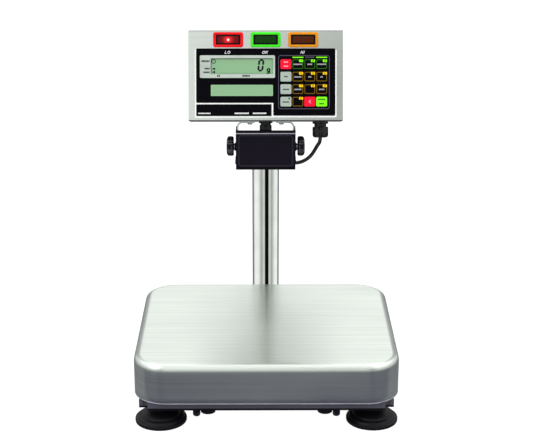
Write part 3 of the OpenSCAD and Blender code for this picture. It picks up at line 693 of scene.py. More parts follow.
@dataclass(frozen=True)
class CaseAxes:
    """The indicator's own axes: x right, y back from its face, z up its face; sizes in millimetres."""

    back: float = 123.534
    height: float = 443.7
    lean: float = LEAN

    def to_row(self, points: np.ndarray) -> np.ndarray:
        """Turn points back by the lean about X, move them to the face's middle, and give metres."""
        c, s = math.cos(self.lean), math.sin(self.lean)
        turn = np.array([[1, 0, 0], [0, c, s], [0, -s, c]])
        return (points @ turn.T + np.array([0, self.back, self.height])) * MM


SEGMENTS = {"a": ((0, 1), (0.56, 1)), "b": ((0.56, 1), (0.56, 0.5)), "c": ((0.56, 0.5), (0.56, 0)),
            "d": ((0.56, 0), (0, 0)), "e": ((0, 0), (0, 0.5)), "f": ((0, 0.5), (0, 1)), "g": ((0, 0.5), (0.56, 0.5))}
FIGURES = {"0": "abcdef", "1": "bc", "2": "abged", "3": "abgcd", "4": "fgbc", "5": "afgcd", "6": "afgedc", "7": "abc",
           "8": "abcdefg", "9": "abcdfg"}
OVAL = tuple((0.45 + 0.45 * math.cos(k * math.pi / 8), 0.5 + 0.5 * math.sin(k * math.pi / 8)) for k in range(17))
LETTERS = {
    "L": [((0, 1), (0, 0), (0.66, 0))], "O": [OVAL],
    "K": [((0, 0), (0, 1)), ((0.72, 1), (0.04, 0.46)), ((0.24, 0.62), (0.76, 0))],
    "H": [((0, 0), (0, 1)), ((0.72, 0), (0.72, 1)), ((0, 0.5), (0.72, 0.5))], "I": [((0.1, 0), (0.1, 1))],
    "g": [tuple((x * 0.62, 0.38 + y * 0.62) for x, y in OVAL),
          ((0.56, 0.95), (0.56, 0.22), (0.48, 0.06), (0.3, 0), (0.04, 0.03))],
    "<": [((0.6, 1), (0, 0.5), (0.6, 0))]}


def lettering(text: str, height: float, middle: tuple[float, float], weight: float, slant: float = 0.2,
              gap: float = 0.42) -> list[np.ndarray]:
    """The strokes of generic figures and letters, each an outline of four corners.

    A stroke is its line, fattened by half its weight to each side and beyond each end; height slopes it to the right.

    Args:
        text: The figures.
        height: Their height in millimetres.
        middle: Their middle in the case's x-z plane.
        weight: Width of a stroke in millimetres.
        slant: Run of the slope for a rise of one.
        gap: Space between two figures, as a share of their height.

    Returns:
        A list of 4 x 2 arrays.
    """
    lines, start = [], 0.0
    for sign in text:
        drawn = [SEGMENTS[s] for s in FIGURES[sign]] if sign in FIGURES else LETTERS[sign]
        runs = [np.array(d, float) for d in drawn]
        wide = max(r[:, 0].max() for r in runs)
        lines += [r + [start, 0] for r in runs]
        start += wide + gap
    inner = height - weight
    flat = [(r - [(start - gap) / 2, 0.5]) * inner for r in lines]
    strokes = []
    for run in flat:
        run = run + np.stack([run[:, 1] * slant, np.zeros(len(run))], -1) + middle
        for a, b in zip(run[:-1], run[1:]):
            way = (b - a) / max(np.linalg.norm(b - a), 1e-6) * weight / 2
            side = np.array([-way[1], way[0]])
            strokes.append(np.array([a - way + side, a - way - side, b + way - side, b + way + side]))
    return strokes


def half_and_middle(x: tuple[float, float], z: tuple[float, float]) -> tuple[tuple[float, float], tuple[float, float]]:
    """Half the width and height of a rectangle, and its middle."""
    return ((x[1] - x[0]) / 2, (z[1] - z[0]) / 2), ((x[0] + x[1]) / 2, (z[0] + z[1]) / 2)


def bar(x: tuple[float, float], z: tuple[float, float], front: float, back: float, radius: float = 0.3,
        steps: int = 3) -> np.ndarray:
    """A thin rounded tablet between two depths."""
    half, middle = half_and_middle(x, z)
    return rings([(*half, radius, back), (*half, radius, front)], middle, steps)


def frame_line(x: tuple[float, float], z: tuple[float, float], radius: float, width: float, front: float,
               back: float, steps: int = 8, crown: float = 0.0) -> np.ndarray:
    """A closed line of even width round a rounded rectangle, flat or crowned, as a tube of four or more corners."""
    half, middle = half_and_middle(x, z)
    cuts = [(0, back), (0, front), (width / 2, front - crown), (width, front), (width, back)]
    loops = [rounded_outline((half[0] - w, half[1] - w), radius - w, middle, steps) for w, _ in cuts]
    return np.stack([np.stack([o[:, 0], np.full(len(o), y), o[:, 1]], -1) for o, (_, y) in zip(loops, cuts)])


# ---- Pan and base ----

PAN_LOW, PAN_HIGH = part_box("pan")
PAN_Y = (PAN_LOW.y + PAN_HIGH.y) / 2 / MM
CASE = CaseAxes(back=PAN_Y + 160.0)


@dataclass
class Pan:
    """A pressed pan with rounded corners and a rolled top edge, in one sheet; sizes in millimetres."""

    half: tuple[float, float] = (190.0, 160.0)
    top: float = 102.0
    hem: float = 43.2
    corner: float = 48.0
    edge: float = 9.4
    sheet: float = 1.5

    def ring(self, inset: float, height: float) -> np.ndarray:
        """The rim's outline, drawn in by an inset, at a height, with its first point again at its end."""
        outline = rounded_outline((self.half[0] - inset, self.half[1] - inset), self.corner - inset, (0, 0), 20)
        outline = np.concatenate([outline, outline[:1]])
        return np.concatenate([outline, np.full((len(outline), 1), height)], 1)

    def roll(self, radius: float, low: float, drop: int = 9) -> list[tuple[float, float]]:
        """Inset and height down a quarter-round edge, radius (1 - sin a) and radius cos a, then down the skirt."""
        angle = np.linspace(0, math.pi / 2, drop)
        inset = self.edge - radius + radius * (1 - np.sin(angle))
        height = self.top - self.edge + radius * np.cos(angle)
        walls = [(self.edge - radius, z) for z in np.linspace(self.top - self.edge - 4, low, 6)]
        return [*zip(inset.tolist(), height.tolist()), *walls]

    def build(self) -> None:
        """Top, edge and skirt outside, the hem, and the same inside."""
        piece = Piece("pan_shell")
        for radius, height, up in ((self.edge, self.top, 1), (self.edge - self.sheet, self.top - self.sheet, -1)):
            flat = np.stack([self.ring(w, height) for w in (self.edge, 14, 22, 34, 47.5)])
            flat = np.concatenate([flat, flat[-1:] * [0, 0, 1]])
            piece.shell(flat, Metals.PAN, wrap=False, sheet=flat[..., :2] * MM)
            hem = self.hem + 0.6
            side = np.stack([self.ring(w, z) for w, z in self.roll(radius, hem)])
            self.wall(piece, side)
        hem_top = self.hem + 1.5
        hem = np.stack([self.ring(w, z) for w, z in ((0, self.hem + 0.6), (0.25, self.hem + 0.1), (0.75, self.hem),
                                                     (1.25, self.hem + 0.1), (self.sheet, self.hem + 0.6))])
        self.wall(piece, hem)
        # A lighter metal band along the hem: painted highlight for the bright line at the skirt's lower edge.
        line = np.stack([self.ring(w, z) for w, z in ((0.02, hem_top + 0.1), (-0.06, hem_top), (-0.06, hem_top - 1.2),
                                                      (0.1, hem_top - 1.3))])
        piece.shell(line, Metals.HEM, wrap=False)
        made = piece.build("pan", "brushed_steel", ("pan",), (0, PAN_Y, 0), sharp=40)
        made.visible_glossy = False

    def wall(self, piece: Piece, grid: np.ndarray) -> None:
        """Add a wall whose map runs round the rim and down the sheet."""
        outer = self.ring(0, 0)
        along = np.concatenate([[0], np.cumsum(np.linalg.norm(np.diff(outer, axis=0), axis=1))])
        down = np.concatenate([[0], np.cumsum(np.linalg.norm(np.diff(grid, axis=0), axis=2)[:, 0])])
        sheet = np.stack(np.broadcast_arrays(along[None, :], down[:, None]), -1) * MM
        piece.shell(grid, Metals.PAN, wrap=False, sheet=sheet)


@dataclass
class Feet:
    """Four screw feet, and the four stops that save the cell from an overload; sizes in millimetres."""

    places: dict[str, tuple[float, float]] = field(default_factory=lambda: {
        "fl": (-152.5, -120.0), "fr": (152.5, -120.0), "rl": (-152.5, 120.0), "rr": (152.5, 120.0)})
    stop: tuple[float, float] = (100.0, 140.0)
    ground: float = 30.0

    def pad(self) -> np.ndarray:
        """A broad flange with a lip, a step, a dome and a hub, on a ringed sole."""
        return lathe([
            (0, 0.5), (12, 0.5), (12.4, 0), (18, 0), (18.4, 0.5), (21, 0.5), (21.4, 0), (27, 0), (27.4, 0.5),
            (30, 0.5), (30.4, 0), (36.4, 0), (37.05, 0.3), (37.25, 0.9), (37.25, 3.9), (37.0, 4.7), (36.3, 5.2),
            (35.2, 5.4), (34.6, 5.9), (33.0, 8.1), (31.6, 9.3), (30.0, 9.9), (28.4, 10.1), (27.8, 10.5),
            (27.3, 11.6), (26.6, 12.6), (25.2, 13.5), (21, 15.9), (17, 17.9), (14.8, 19.2), (13.9, 20.6),
            (13.5, 22.6), (13.1, 23.7), (12.2, 24.3), (11.2, 24.5), (6.2, 24.5), (5.4, 24.1), (5.12, 23.4),
            (5.12, 10.6), (0, 10.6)], 96)

    def build(self) -> None:
        """Pads and studs on bodies of their own; nuts and stops on the base."""
        for foot, (x, y) in self.places.items():
            here = (x, PAN_Y + y, 0)
            Piece(f"foot_pad_{foot}_moulding").shell(self.pad(), Coats.FOOT).build(
                f"foot_{foot}_pad", "black_plastic", (f"foot_pad_{foot}",), here, 38)
            Piece(f"foot_stud_{foot}_thread").shell(threaded(5.0, 10.65, 58, 1.5, 0.55, 32), Metals.ZINC).build(
                f"foot_{foot}_stud", "zinc_steel", (f"foot_stud_{foot}",), here, 50)
        nuts, stops = Piece("foot_lock_nuts_hex"), Piece("overload_stops_bolt")
        for x, y in self.places.values():
            nuts.shell(hexagon(9.8, self.ground - 5, self.ground, 0.9, 5.25) + [x, y, 0], Metals.ZINC)
        boot = lathe([(0, 16.4), (2.6, 16.45), (4.2, 16.9), (5.1, 17.9), (5.4, 19.2), (5.4, 29.4), (5.0, 30),
                      (0, 30)], 32)
        for x in (-self.stop[0], self.stop[0]):
            for y in (-self.stop[1], self.stop[1]):
                stops.shell(boot + [x, y, 0], Coats.KNOB)
                stops.shell(threaded(4.0, 29.5, 76, 1.25, 0.5) + [x, y, 0], Metals.ZINC)
                stops.shell(hexagon(7.2, 33, 39, 0.7) + [x, y, 0], Metals.ZINC)
        nuts.build("base", "zinc_steel", ("foot_lock_nuts",), (0, PAN_Y, 0))
        stops.build("base", "black_screw", ("overload_stops",), (0, PAN_Y, 0), 50)


@dataclass
class Base:
    """The pressed frame, the cell and its bolts, and the bubble level."""

    level: Vec3 = (39.0, 205.0, 30.0)
    bend: float = 20.0

    def build(self) -> None:
        """Sheet parts with eased edges, bolts, and the level."""
        refined("base_frame", Coats.FRAME, "base", 0.7)
        cell = refined("load_cell", Metals.ALLOY, "", 0.5)
        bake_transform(cell)
        refined("cell_bolts_lower", Metals.ZINC, "base", 0.4)
        refined("pan_support", Metals.ZINC, "weigh_platform", 0.5)
        refined("cell_spacer", Metals.ALLOY, "weigh_platform", 0.4)
        refined("cell_bolts_upper", Metals.ZINC, "weigh_platform", 0.4)
        refined("support_pads", Coats.RUBBER, "weigh_platform", 0.8)
        self.bubble_level()

    def bubble_level(self) -> None:
        """A cup with a domed vial, a centring ring and a bubble under it."""
        here = (self.level[0], PAN_Y + self.level[1], self.level[2])
        cup = [(0, 0), (10.4, 0), (11, 0.6), (11, 8.3), (10.6, 8.9), (10, 9), (9.4, 8.8), (9.05, 8.2), (9.05, 2),
               (0, 2)]
        Piece("level_cup").shell(lathe(cup, 56), Coats.FOOT).build("base", "black_plastic", ("level_housing",), here)
        vial = Piece("level_glass").shell(
            lathe([(0, 2), (9, 2), (9, 8.2), (8.4, 8.7), (7, 9.15), (4.5, 9.6), (2, 9.85), (0, 9.9)], 56), Inks.LIQUID)
        mark = [(3.6, 9.60), (3.6, 9.78), (4.0, 9.74), (4.0, 9.55)]
        vial.shell(lathe(mark, 48), Inks.DARK, close=True)
        vial.shell(lathe([(0, 9.7), (2.2, 9.7), (2.4, 9.86), (1.6, 10.0), (0, 10.0)], 32), Inks.BUBBLE)
        vial.build("base", "vial_glass", ("level_vial",), here)


# ---- Column ----


@dataclass
class Column:
    """The pole on its bracket, and the head that holds the indicator; sizes in millimetres."""

    pole_back: float = 192.0
    pole_radius: float = 21.35
    socket_top: float = 76.0
    head_front: float = 168.0
    head_low: float = 290.4
    tilt: tuple[float, float] = (186.0, 323.1)
    knob_low: float = 50.4

    def build(self) -> None:
        """Bracket, pole, head, its pressed border and screws, and the two knobs."""
        refined("column_bracket", Coats.FRAME, "base", 0.6)
        refined("column_screws", Metals.ZINC, "base", 0.3)
        refined("pole", Metals.POLE, "base", 0.25, 40)
        low, high, wall = self.socket_top + 0.3, self.head_low - 0.1, self.pole_radius
        skin = [(wall - 0.02, low), (wall, low), (wall + 0.03, low + 0.3), (wall + 0.03, high), (wall - 0.02, high)]
        Piece("pole_polished_skin").shell(lathe(skin, 160), Metals.POLE, close=True).build(
            "base", "polished_steel", (), (0, PAN_Y + self.pole_back, 0), 40)
        refined("pole_head", Coats.HEAD, "base", 0.9)
        refined("pole_head_screws", Coats.BLACK_SCREW, "base", 0.5)
        # Pressed border on the head's face, lighter than the paint: a painted highlight where light catches the
        # pressing.
        line = frame_line((-42.6, 42.6), (296.2, 346.6), 4, 1.1, -0.28, 0.3, 8, 0.1)
        # Painted highlight: a light strip along the head's top bend; also a near-black strip along the face's lower
        # edge.
        edges = Piece("pole_head_edges").shell(bar((-46.6, 46.6), (348.8, 350.2), -0.2, 0.3, 0.5), Coats.HEAD_BEND_HIGHLIGHT)
        edges.shell(bar((-46.6, 46.6), (290.9, 295.2), -0.15, 0.3, 0.5), Coats.CHIP)
        edges.build("base", "black_paint", (), (0, PAN_Y + self.head_front, 0))
        Piece("pole_head_border").shell(line, Coats.HEAD_BORDER_HIGHLIGHT, close=True).build(
            "base", "black_paint", (), (0, PAN_Y + self.head_front, 0))
        for side, name in ((-1, "knob_left"), (1, "knob_right")):
            self.knob(side, name)

    def knob(self, side: int, name: str) -> None:
        """A five-lobed domed star on a turned collar, with its washer and shank."""
        low = self.knob_low
        star = [(0, low), (11.6, low), (13.2, low + 0.3), (14.2, low + 1.2), (14.6, low + 2.8), (14.6, low + 7.0),
                (14.3, low + 8.4), (13.2, low + 9.9), (11.2, low + 10.9), (8.4, low + 11.35), (7.6, low + 11.2),
                (7.2, low + 10.8), (6.6, low + 10.8), (6.2, low + 11.2), (5.4, low + 11.5), (0, low + 11.6)]
        washer = [(0, 47.35), (6.6, 47.35), (7, 47.7), (7, 48.3), (6.6, 48.6), (0, 48.6)]
        collar = [(0, 48.5), (5.3, 48.5), (5.6, 48.8), (5.6, 50.0), (5.3, 50.5), (0, 50.5)]
        piece = Piece(name + "_star")
        for grid, finish in ((lathe(star, 150, 5, 0.15), Coats.KNOB), (lathe(washer, 48), Coats.BLACK_SCREW),
                             (lathe(collar, 48), Metals.SCREW), (threaded(3.0, 36.2, 52, 1.0, 0.4), Metals.SCREW)):
            piece.shell(turned(grid, "x", (0, 0, 0)) * [side, 1, 1], finish)
        piece.build(name, "black_plastic", (name,), (0, PAN_Y + self.tilt[0], self.tilt[1]), 50)


# ---- Indicator ----


class KeyStyle(Enum):
    """How a key is printed."""

    RED = "red"
    GREY = "grey"
    GREEN = "green"
    GREEN_TAB = "green tab"
    YELLOW_TAB = "yellow tab"


@dataclass
class Keypad:
    """Sixteen keys in a field; sizes in millimetres on the case's axes."""

    first: tuple[float, float] = (31.1, 17.7)
    pitch: tuple[float, float] = (18.3, 19.15)
    half: tuple[float, float] = (8.45, 7.5)
    radius: float = 2.0
    front: float = -1.6
    tabs: tuple[str, ...] = ("a2 1", "a3 2", "a4 3", "b2 4", "b3 5", "b4 6", "c2 7", "c3 8", "c4 9", "d2 0")
    solid: dict[str, KeyStyle] = field(default_factory=lambda: {
        "a1": KeyStyle.RED, "b1": KeyStyle.GREY, "c1": KeyStyle.GREY, "d1": KeyStyle.GREY, "d3": KeyStyle.RED,
        "d4": KeyStyle.GREEN})
    words: dict[str, list[tuple[float, float, float]]] = field(default_factory=lambda: {
        "a1": [(0, 3.2, 7), (0, -3.2, 7)], "a2": [(0, -0.2, 13.4)], "a3": [(0, -0.2, 7.6)], "a4": [(0, -0.2, 13.4)],
        "b1": [(0, 0, 5.6)], "b2": [(0, -0.4, 11)], "b3": [(0, -0.4, 5)], "b4": [(0, -0.4, 4)],
        "c1": [(0, -0.4, 9.6)], "c2": [(0, -0.4, 11)], "c4": [(0, -0.4, 8.6)], "d1": [(0, -0.6, 10.4)],
        "d4": [(0, 3.4, 11.4), (0, -3.2, 7.4)]})

    def middle(self, key: str) -> tuple[float, float]:
        """A key's middle: its letter is its row, and its number its column."""
        row, column = "abcd".index(key[0]), int(key[1]) - 1
        return self.first[0] + column * self.pitch[0], self.first[1] - row * self.pitch[1]

    def build(self) -> None:
        """Every key, with its printing."""
        for key, style in self.solid.items():
            self.key(key, style, "")
        for tab in self.tabs:
            key, digit = tab.split()
            self.key(key, KeyStyle.GREEN_TAB if key[0] == "a" else KeyStyle.YELLOW_TAB, digit)

    def key(self, key: str, style: KeyStyle, digit: str) -> None:
        """A cap with eased edges and a shallow dish on its plunger, an outline and tab, or a solid colour."""
        cap, word, slot = {
            KeyStyle.RED: (Inks.RED, Inks.PINK, "key_red"), KeyStyle.GREY: (Inks.GREY, Inks.DARK, "key_grey"),
            KeyStyle.GREEN: (Inks.GREEN, Inks.DARK, "key_green"),
            KeyStyle.GREEN_TAB: (Inks.BLACK, Inks.SOFT_WHITE, "key_black"),
            KeyStyle.YELLOW_TAB: (Inks.BLACK, Inks.SOFT_WHITE, "key_black")}[style]
        (a, b), r, y, at = self.half, self.radius, self.front, self.middle(key)
        piece = Piece(f"key_{key}_cap")
        piece.shell(rings([(a, b, r, 1.4), (a, b, r, y + 0.5), (a - 0.15, b - 0.15, r - 0.1, y + 0.18),
                           (a - 0.45, b - 0.45, r - 0.3, y + 0.02), (a - 1.2, b - 1.2, r - 0.7, y),
                           (a - 3.2, b - 3.2, 0.8, y + 0.04)], at), cap)
        piece.shell(bar((at[0] - 4, at[0] + 4), (at[1] - 3, at[1] + 3), 1.0, 5.45), Coats.RUBBER)
        ink = y - 0.04
        if digit:
            green = style is KeyStyle.GREEN_TAB
            piece.shell(frame_line((at[0] - a + 0.35, at[0] + a - 0.35), (at[1] - b + 0.35, at[1] + b - 0.35), r, 0.95,
                                   ink, y + 0.3), Inks.GREEN_LINE if green else Inks.YELLOW_LINE, close=True)
            tab = bar((at[0] + 1.9, at[0] + a - 0.35), (at[1] + 3.1, at[1] + b - 0.35), ink - 0.03, y + 0.3, 1.0, 5)
            piece.shell(tab, Inks.GREEN if green else Inks.YELLOW)
            self.write(piece, digit, 3.0, (at[0] + 5.0, at[1] + 5.1), ink - 0.07, Inks.DARK, 0.5)
        if key == "d3":
            self.write(piece, "<", 5.0, at, ink, Inks.PINK, 1.0, 0.0)
        if key == "d1":
            piece.shell(frame_dot((at[0] + 5.0, at[1] + 4.7), 1.25, ink, y + 0.3), Inks.DARK)
        for x, z, width in self.words.get(key, []):
            for grid in dashes((at[0] + x, at[1] + z), width, 1.9, ink, y + 0.3):
                piece.shell(grid, word)
        piece.build(f"key_{key}", slot, (f"key_{key}",), CASE)

    @staticmethod
    def write(piece: Piece, text: str, height: float, middle: tuple[float, float], depth: float, ink: Finish,
              weight: float, slant: float = 0.2) -> None:
        """Add figures to a piece, each stroke a hair proud of the one before it."""
        for step, outline in enumerate(lettering(text, height, middle, weight, slant)):
            piece.shell(prism(outline, depth - 0.001 * step, depth + 0.1), ink)


def prism(outline: np.ndarray, front: float, back: float) -> np.ndarray:
    """A flat outline in the x-z plane carried from one depth to another, with its ends drawn to its middle."""
    middle = np.broadcast_to(outline.mean(0), outline.shape)
    flat = np.stack([middle, outline, outline, middle])
    depth = np.array([back, back, front, front])[:, None] * np.ones(len(outline))
    return np.stack([flat[..., 0], depth, flat[..., 1]], -1)


def frame_dot(middle: tuple[float, float], radius: float, front: float, back: float) -> np.ndarray:
    """A round spot."""
    return prism(rounded_outline((radius, radius), radius, middle, 5), front, back)


def dashes(middle: tuple[float, float], width: float, height: float, front: float, back: float) -> list[np.ndarray]:
    """A row of short slanted strokes, in place of a word."""
    count = max(int(width / 1.9), 2)
    at = middle[0] + (np.arange(count) - (count - 1) / 2) * width / count
    stroke = np.array([[-0.62, -0.5], [0.38, -0.5], [0.62, 0.5], [-0.38, 0.5]]) * [0.78 * width / count, height]
    return [prism(stroke + [x, middle[1]], front, back) for x in at]


@dataclass
class Indicator:
    """The case, its lamps, displays and printed film; sizes in millimetres on the case's axes."""

    lamp_half: tuple[float, float] = (23.2, 11.6)
    lamp_height: float = 55.2
    lamp_pitch: float = 57.6
    gland_depth: float = 56.24
    glass_left: float = -84.5
    glass_right: float = 11.3
    glass: tuple[float, float] = (-0.6, 6.2)
    mark: tuple[float, float] = (-0.64, -0.5)
    ink: tuple[float, float] = (-1.06, -0.9)

    def build(self) -> None:
        """Sheet metal first, then what is mounted on it."""
        refined("tilt_arms", Metals.CASE, "indicator", 0.3)
        refined("front_case", Metals.CASE, "indicator", 0.9)
        refined("rear_cover", Metals.CASE, "indicator", 0.9)
        refined("case_gasket", Coats.RUBBER, "indicator", 0.3)
        refined("case_screws", Metals.SCREW, "indicator", 0.7)
        refined("circuit_board", Coats.BOARD, "indicator", 0.2)
        refined("overlay_panel", Inks.FILM, "indicator", 0.12)
        refined("display_bezel", Coats.BEZEL, "indicator", 0.8)
        self.lamps()
        self.displays()
        self.printing()
        self.nameplate()
        self.glands()
        Keypad().build()

    def lamps(self) -> None:
        """Three framed lamps; the left one is lit."""
        for place, name, frame_finish, glass in ((-1, "red", Coats.LAMP_RED, Inks.GLASS_RED),
                                                 (0, "green", Coats.LAMP_GREEN, Inks.GLASS_GREEN),
                                                 (1, "amber", Coats.LAMP_AMBER, Inks.GLASS_AMBER)):
            at, (a, b) = (place * self.lamp_pitch, self.lamp_height), self.lamp_half
            piece = Piece(f"lamp_{name}_window")
            piece.shell(rings([(a - 4.2, b - 3.8, 1.5, 5.0), (a - 4.2, b - 3.8, 1.5, 0), (a - 0.2, b - 0.2, 3.2, 0),
                               (a, b, 3.4, -0.3), (a, b, 3.4, -1.5), (a - 0.25, b - 0.25, 3.2, -2.1),
                               (a - 0.8, b - 0.8, 2.8, -2.65), (a - 1.6, b - 1.6, 2.2, -2.92),
                               (a - 2.6, b - 2.4, 1.7, -3.0), (a - 3.5, b - 3.2, 1.3, -2.9),
                               (a - 4.1, b - 3.8, 1.1, -2.6), (a - 4.4, b - 4.0, 1.0, -1.7)], at, 10), frame_finish)
            piece.shell(rings([(a - 4.3, b - 3.9, 1.0, -0.6), (a - 4.3, b - 3.9, 1.0, -1.8),
                               (a - 5.6, b - 5.2, 0.8, -1.8)], at, 6), Coats.CHIP)
            piece.shell(rings([(a - 7.2, b - 6.5, 0.5, -1.6), (a - 7.2, b - 6.5, 0.5, -2.0),
                               (a - 7.7, b - 7.0, 0.4, -2.1)], at, 4), glass)
            piece.build("indicator", f"{name}_lens", (f"lamp_{name}",), CASE, 40)

    def displays(self) -> None:
        """Two reflective glasses, with the weight, its unit and its flags on the upper one."""
        low, high = self.glass_left + 0.2, self.glass_right - 0.2
        main = Piece("main_display_glass").shell(bar((low, high), (2.7, 26.5), *self.glass), Inks.LCD)
        corners = np.array([[-3.1, -8.0], [3.1, -8.0], [-3.1, 0.0], [3.1, 0.0], [-3.1, 8.0], [3.1, 8.0]])
        for a, b in ((4, 5), (1, 3), (3, 5), (0, 2), (2, 4), (0, 1)):
            main.shell(self.segment(corners[a], corners[b], (-7.4, 16.0), 3.0), Inks.DARK)
        Keypad.write(main, "g", 8.6, (4.1, 7.4), self.mark[0], Inks.DARK, 1.9, 0.08)
        main.shell(frame_line((-83.5, -76.7), (18.6, 25.4), 3.4, 1.15, *self.mark, 8), Inks.DARK, close=True)
        for z in (10.6, 5.7):
            arrow = np.array([[-83.2, z], [-77.8, z - 1.9], [-77.8, z + 1.9]])
            main.shell(prism(arrow, *self.mark), Inks.DARK)
        # Painted shadow: dark strips along the top and left edges of the main glass, where the bezel's shadow falls.
        main.shell(bar((low, high), (25.6, 26.5), -0.68, -0.5, 0.2), Inks.EDGE_SHADOW)
        main.shell(bar((low, low + 0.8), (2.7, 25.7), -0.68, -0.5, 0.2), Inks.EDGE_SHADOW)
        main.build("indicator", "lcd_glass", ("main_display",), CASE)
        sub = Piece("sub_display_glass").shell(bar((low, high), (-30.9, -13.8), *self.glass), Inks.LCD)
        sub.shell(frame_line((low, high), (-30.9, -13.8), 0.4, 1.4, *self.mark, 2), Inks.LCD_EDGE, close=True)
        sub.build("indicator", "lcd_glass", ("sub_display",), CASE)

    def segment(self, start: np.ndarray, end: np.ndarray, middle: tuple[float, float], width: float) -> np.ndarray:
        """One bar of a figure: a six-sided bar along start to end, sloped by an eighth of its height."""
        way = (end - start) / np.linalg.norm(end - start)
        side, gap = np.array([-way[1], way[0]]) * width / 2, way * 0.25
        tip = way * width / 2
        outline = np.array([start + gap, start + tip + side, end - tip + side, end - gap, end - tip - side,
                            start + tip - side])
        outline = outline + np.stack([outline[:, 1] / 8, np.zeros(6)], -1)
        return prism(outline + middle, *self.mark)

    def printing(self) -> None:
        """Lines and generic words printed on the film and the bezel, and the white bead round the film, with a faint
        painted glow as a highlight.
        """
        film = Piece("overlay_print")
        for text, x in (("LO", -58.5), ("OK", -0.9), ("HI", 56.8)):
            Keypad.write(film, text, 4.4, (x, 35.9), self.ink[0], Inks.WHITE, 0.66, 0.3)
        film.shell(frame_line((19.2, 98.4), (-51.2, 31.4), 4.0, 1.0, -1.05, -0.9, 8), Inks.LINE, close=True)
        for x in ((41.2, 57.9), (77.7, 94.6)):
            film.shell(bar(x, (27.3, 29.0), *self.ink), Inks.GREEN)
        for grid in dashes((67.8, 28.3), 14, 2.0, *self.ink):
            film.shell(grid, Inks.LINE)
        for middle, width, height in (((-92.4, 22.3), 13, 2.8), ((-89.9, 10.9), 8, 2.6), ((-91, 5.2), 10, 2.7),
                                      ((-72.4, -0.3), 5, 2.6), ((-30.2, -0.3), 12, 2.6)):
            for grid in dashes(middle, width, height, -2.85, -2.7):
                film.shell(grid, Inks.DARK)
        film.build("indicator", "overlay_film", (), CASE)
        # The bead round the film: white, partly the film's own border, with a faint glow as a painted highlight on its
        # edge.
        bead = Piece("overlay_bead")
        for x, z in (((107.2, 108.9), (-63.2, 39.6)), ((10.2, 107.8), (-63.8, -62.3)),
                     ((-108.8, -107.6), (-42.6, 40.4)), ((-108.8, 11.8), (-43.1, -41.9)),
                     ((10.0, 11.6), (-62.6, -42.2)), ((-108.8, 10.6), (-64.0, -62.6)),
                     ((-108.8, -107.6), (-63.6, -42.4))):
            width = min(x[1] - x[0], z[1] - z[0])
            (a, b), at = half_and_middle(x, z)
            ease, crown = width * 0.12, width * 0.3
            bead.shell(rings([(a, b, 0.7, 0.4), (a, b, 0.7, -0.5), (a - ease, b - ease, 0.6, -0.85),
                              (a - crown, b - crown, 0.4, -1.0)], at, 6), Inks.BEAD_WHITE_AND_HIGHLIGHT)
        for z in ((-69.25, -68.0), (68.5, 69.25)):
            bead.shell(bar((-118.7, 118.7), z, -0.12, 0.5, 0.3), Coats.HEM)
        bead.build("indicator", "overlay_film", (), CASE)

    def nameplate(self) -> None:
        """A blank black plate with rows of strokes where a maker's words would be."""
        blank = rings([(57.7, 8.9, 1.4, 0.1), (57.7, 8.9, 1.4, -0.65), (57.5, 8.7, 1.2, -0.8)], (-49.1, -52.8), 6)
        plate = Piece("nameplate_film").shell(blank, Inks.FILM)
        for middle, width, height in (((-94.5, -57.6), 19, 1.7), ((-37.0, -57.6), 22, 2.1), ((-9.6, -57.6), 21, 2.1)):
            for grid in dashes(middle, width, height, -0.86, -0.7):
                plate.shell(grid, Inks.WHITE)
        plate.build("indicator", "overlay_film", ("nameplate",), CASE)

    def glands(self) -> None:
        """Two cable glands under the case, one closed by a plug, and their nuts."""
        bodies, nuts = Piece("cable_glands_body"), Piece("gland_nuts_dome")
        for x, bore, flange, neck, thread, nut, hold in ((0.0, 4.0, (10.9, 2.4), (8.2, 3.0), 8.0, (11.0, 15.0), 11.0),
                                                         (86.5, 3.3, (12.5, 3.4), (9.5, 4.8), 9.0, (14.1, 17.0), 13.0)):
            foot = -69.3
            low, end = foot - flange[1], foot - flange[1] - neck[1]
            hexed = np.array([x, self.gland_depth, 0])
            shape = [(bore, end), (neck[0], end), (neck[0], low + 0.6), (neck[0] + 0.5, low), (flange[0] - 0.5, low),
                     (flange[0], low + 0.5), (flange[0], foot - 0.5), (flange[0] - 0.5, foot), (thread, foot),
                     (thread, foot + 10), (bore, foot + 10)]
            bodies.shell(lathe(shape, 64) + hexed, Coats.GLAND, close=True)
            radius, tall = nut
            top, skirt = end, end + 3 - tall
            bodies.shell(hexagon(flange[0] * 1.02, low + 0.2, foot - 0.2, 0.5, thread) + hexed, Coats.GLAND)
            nuts.shell(hexagon(radius, skirt, top, 0.8, bore) + hexed, Coats.GLAND)
            dome = [(bore, skirt + 0.2), (radius * 0.86, skirt + 0.2), (radius * 0.85, skirt - 0.8),
                    (radius * 0.78, skirt - 1.9), (radius * 0.68, skirt - 2.7), (radius * 0.56, skirt - 3.0),
                    (bore + 0.4, skirt - 3.0), (bore, skirt - 2.6)]
            nuts.shell(lathe(dome, 64, 18, 0.012) + hexed, Coats.GLAND, close=True)
            nuts.shell(hexagon(hold, foot + 1.5, foot + 5.5, 0.5, thread) + hexed, Coats.GLAND)
            if x == 0:
                plug = [(0, skirt - 2.7), (3.6, skirt - 2.7), (3.95, skirt - 2.3), (3.95, foot + 6), (0, foot + 6)]
                nuts.shell(lathe(plug, 40) + hexed, Coats.RUBBER)
        bodies.build("indicator", "black_plastic", ("cable_glands",), CASE)
        nuts.build("indicator", "black_plastic", ("gland_nuts",), CASE)


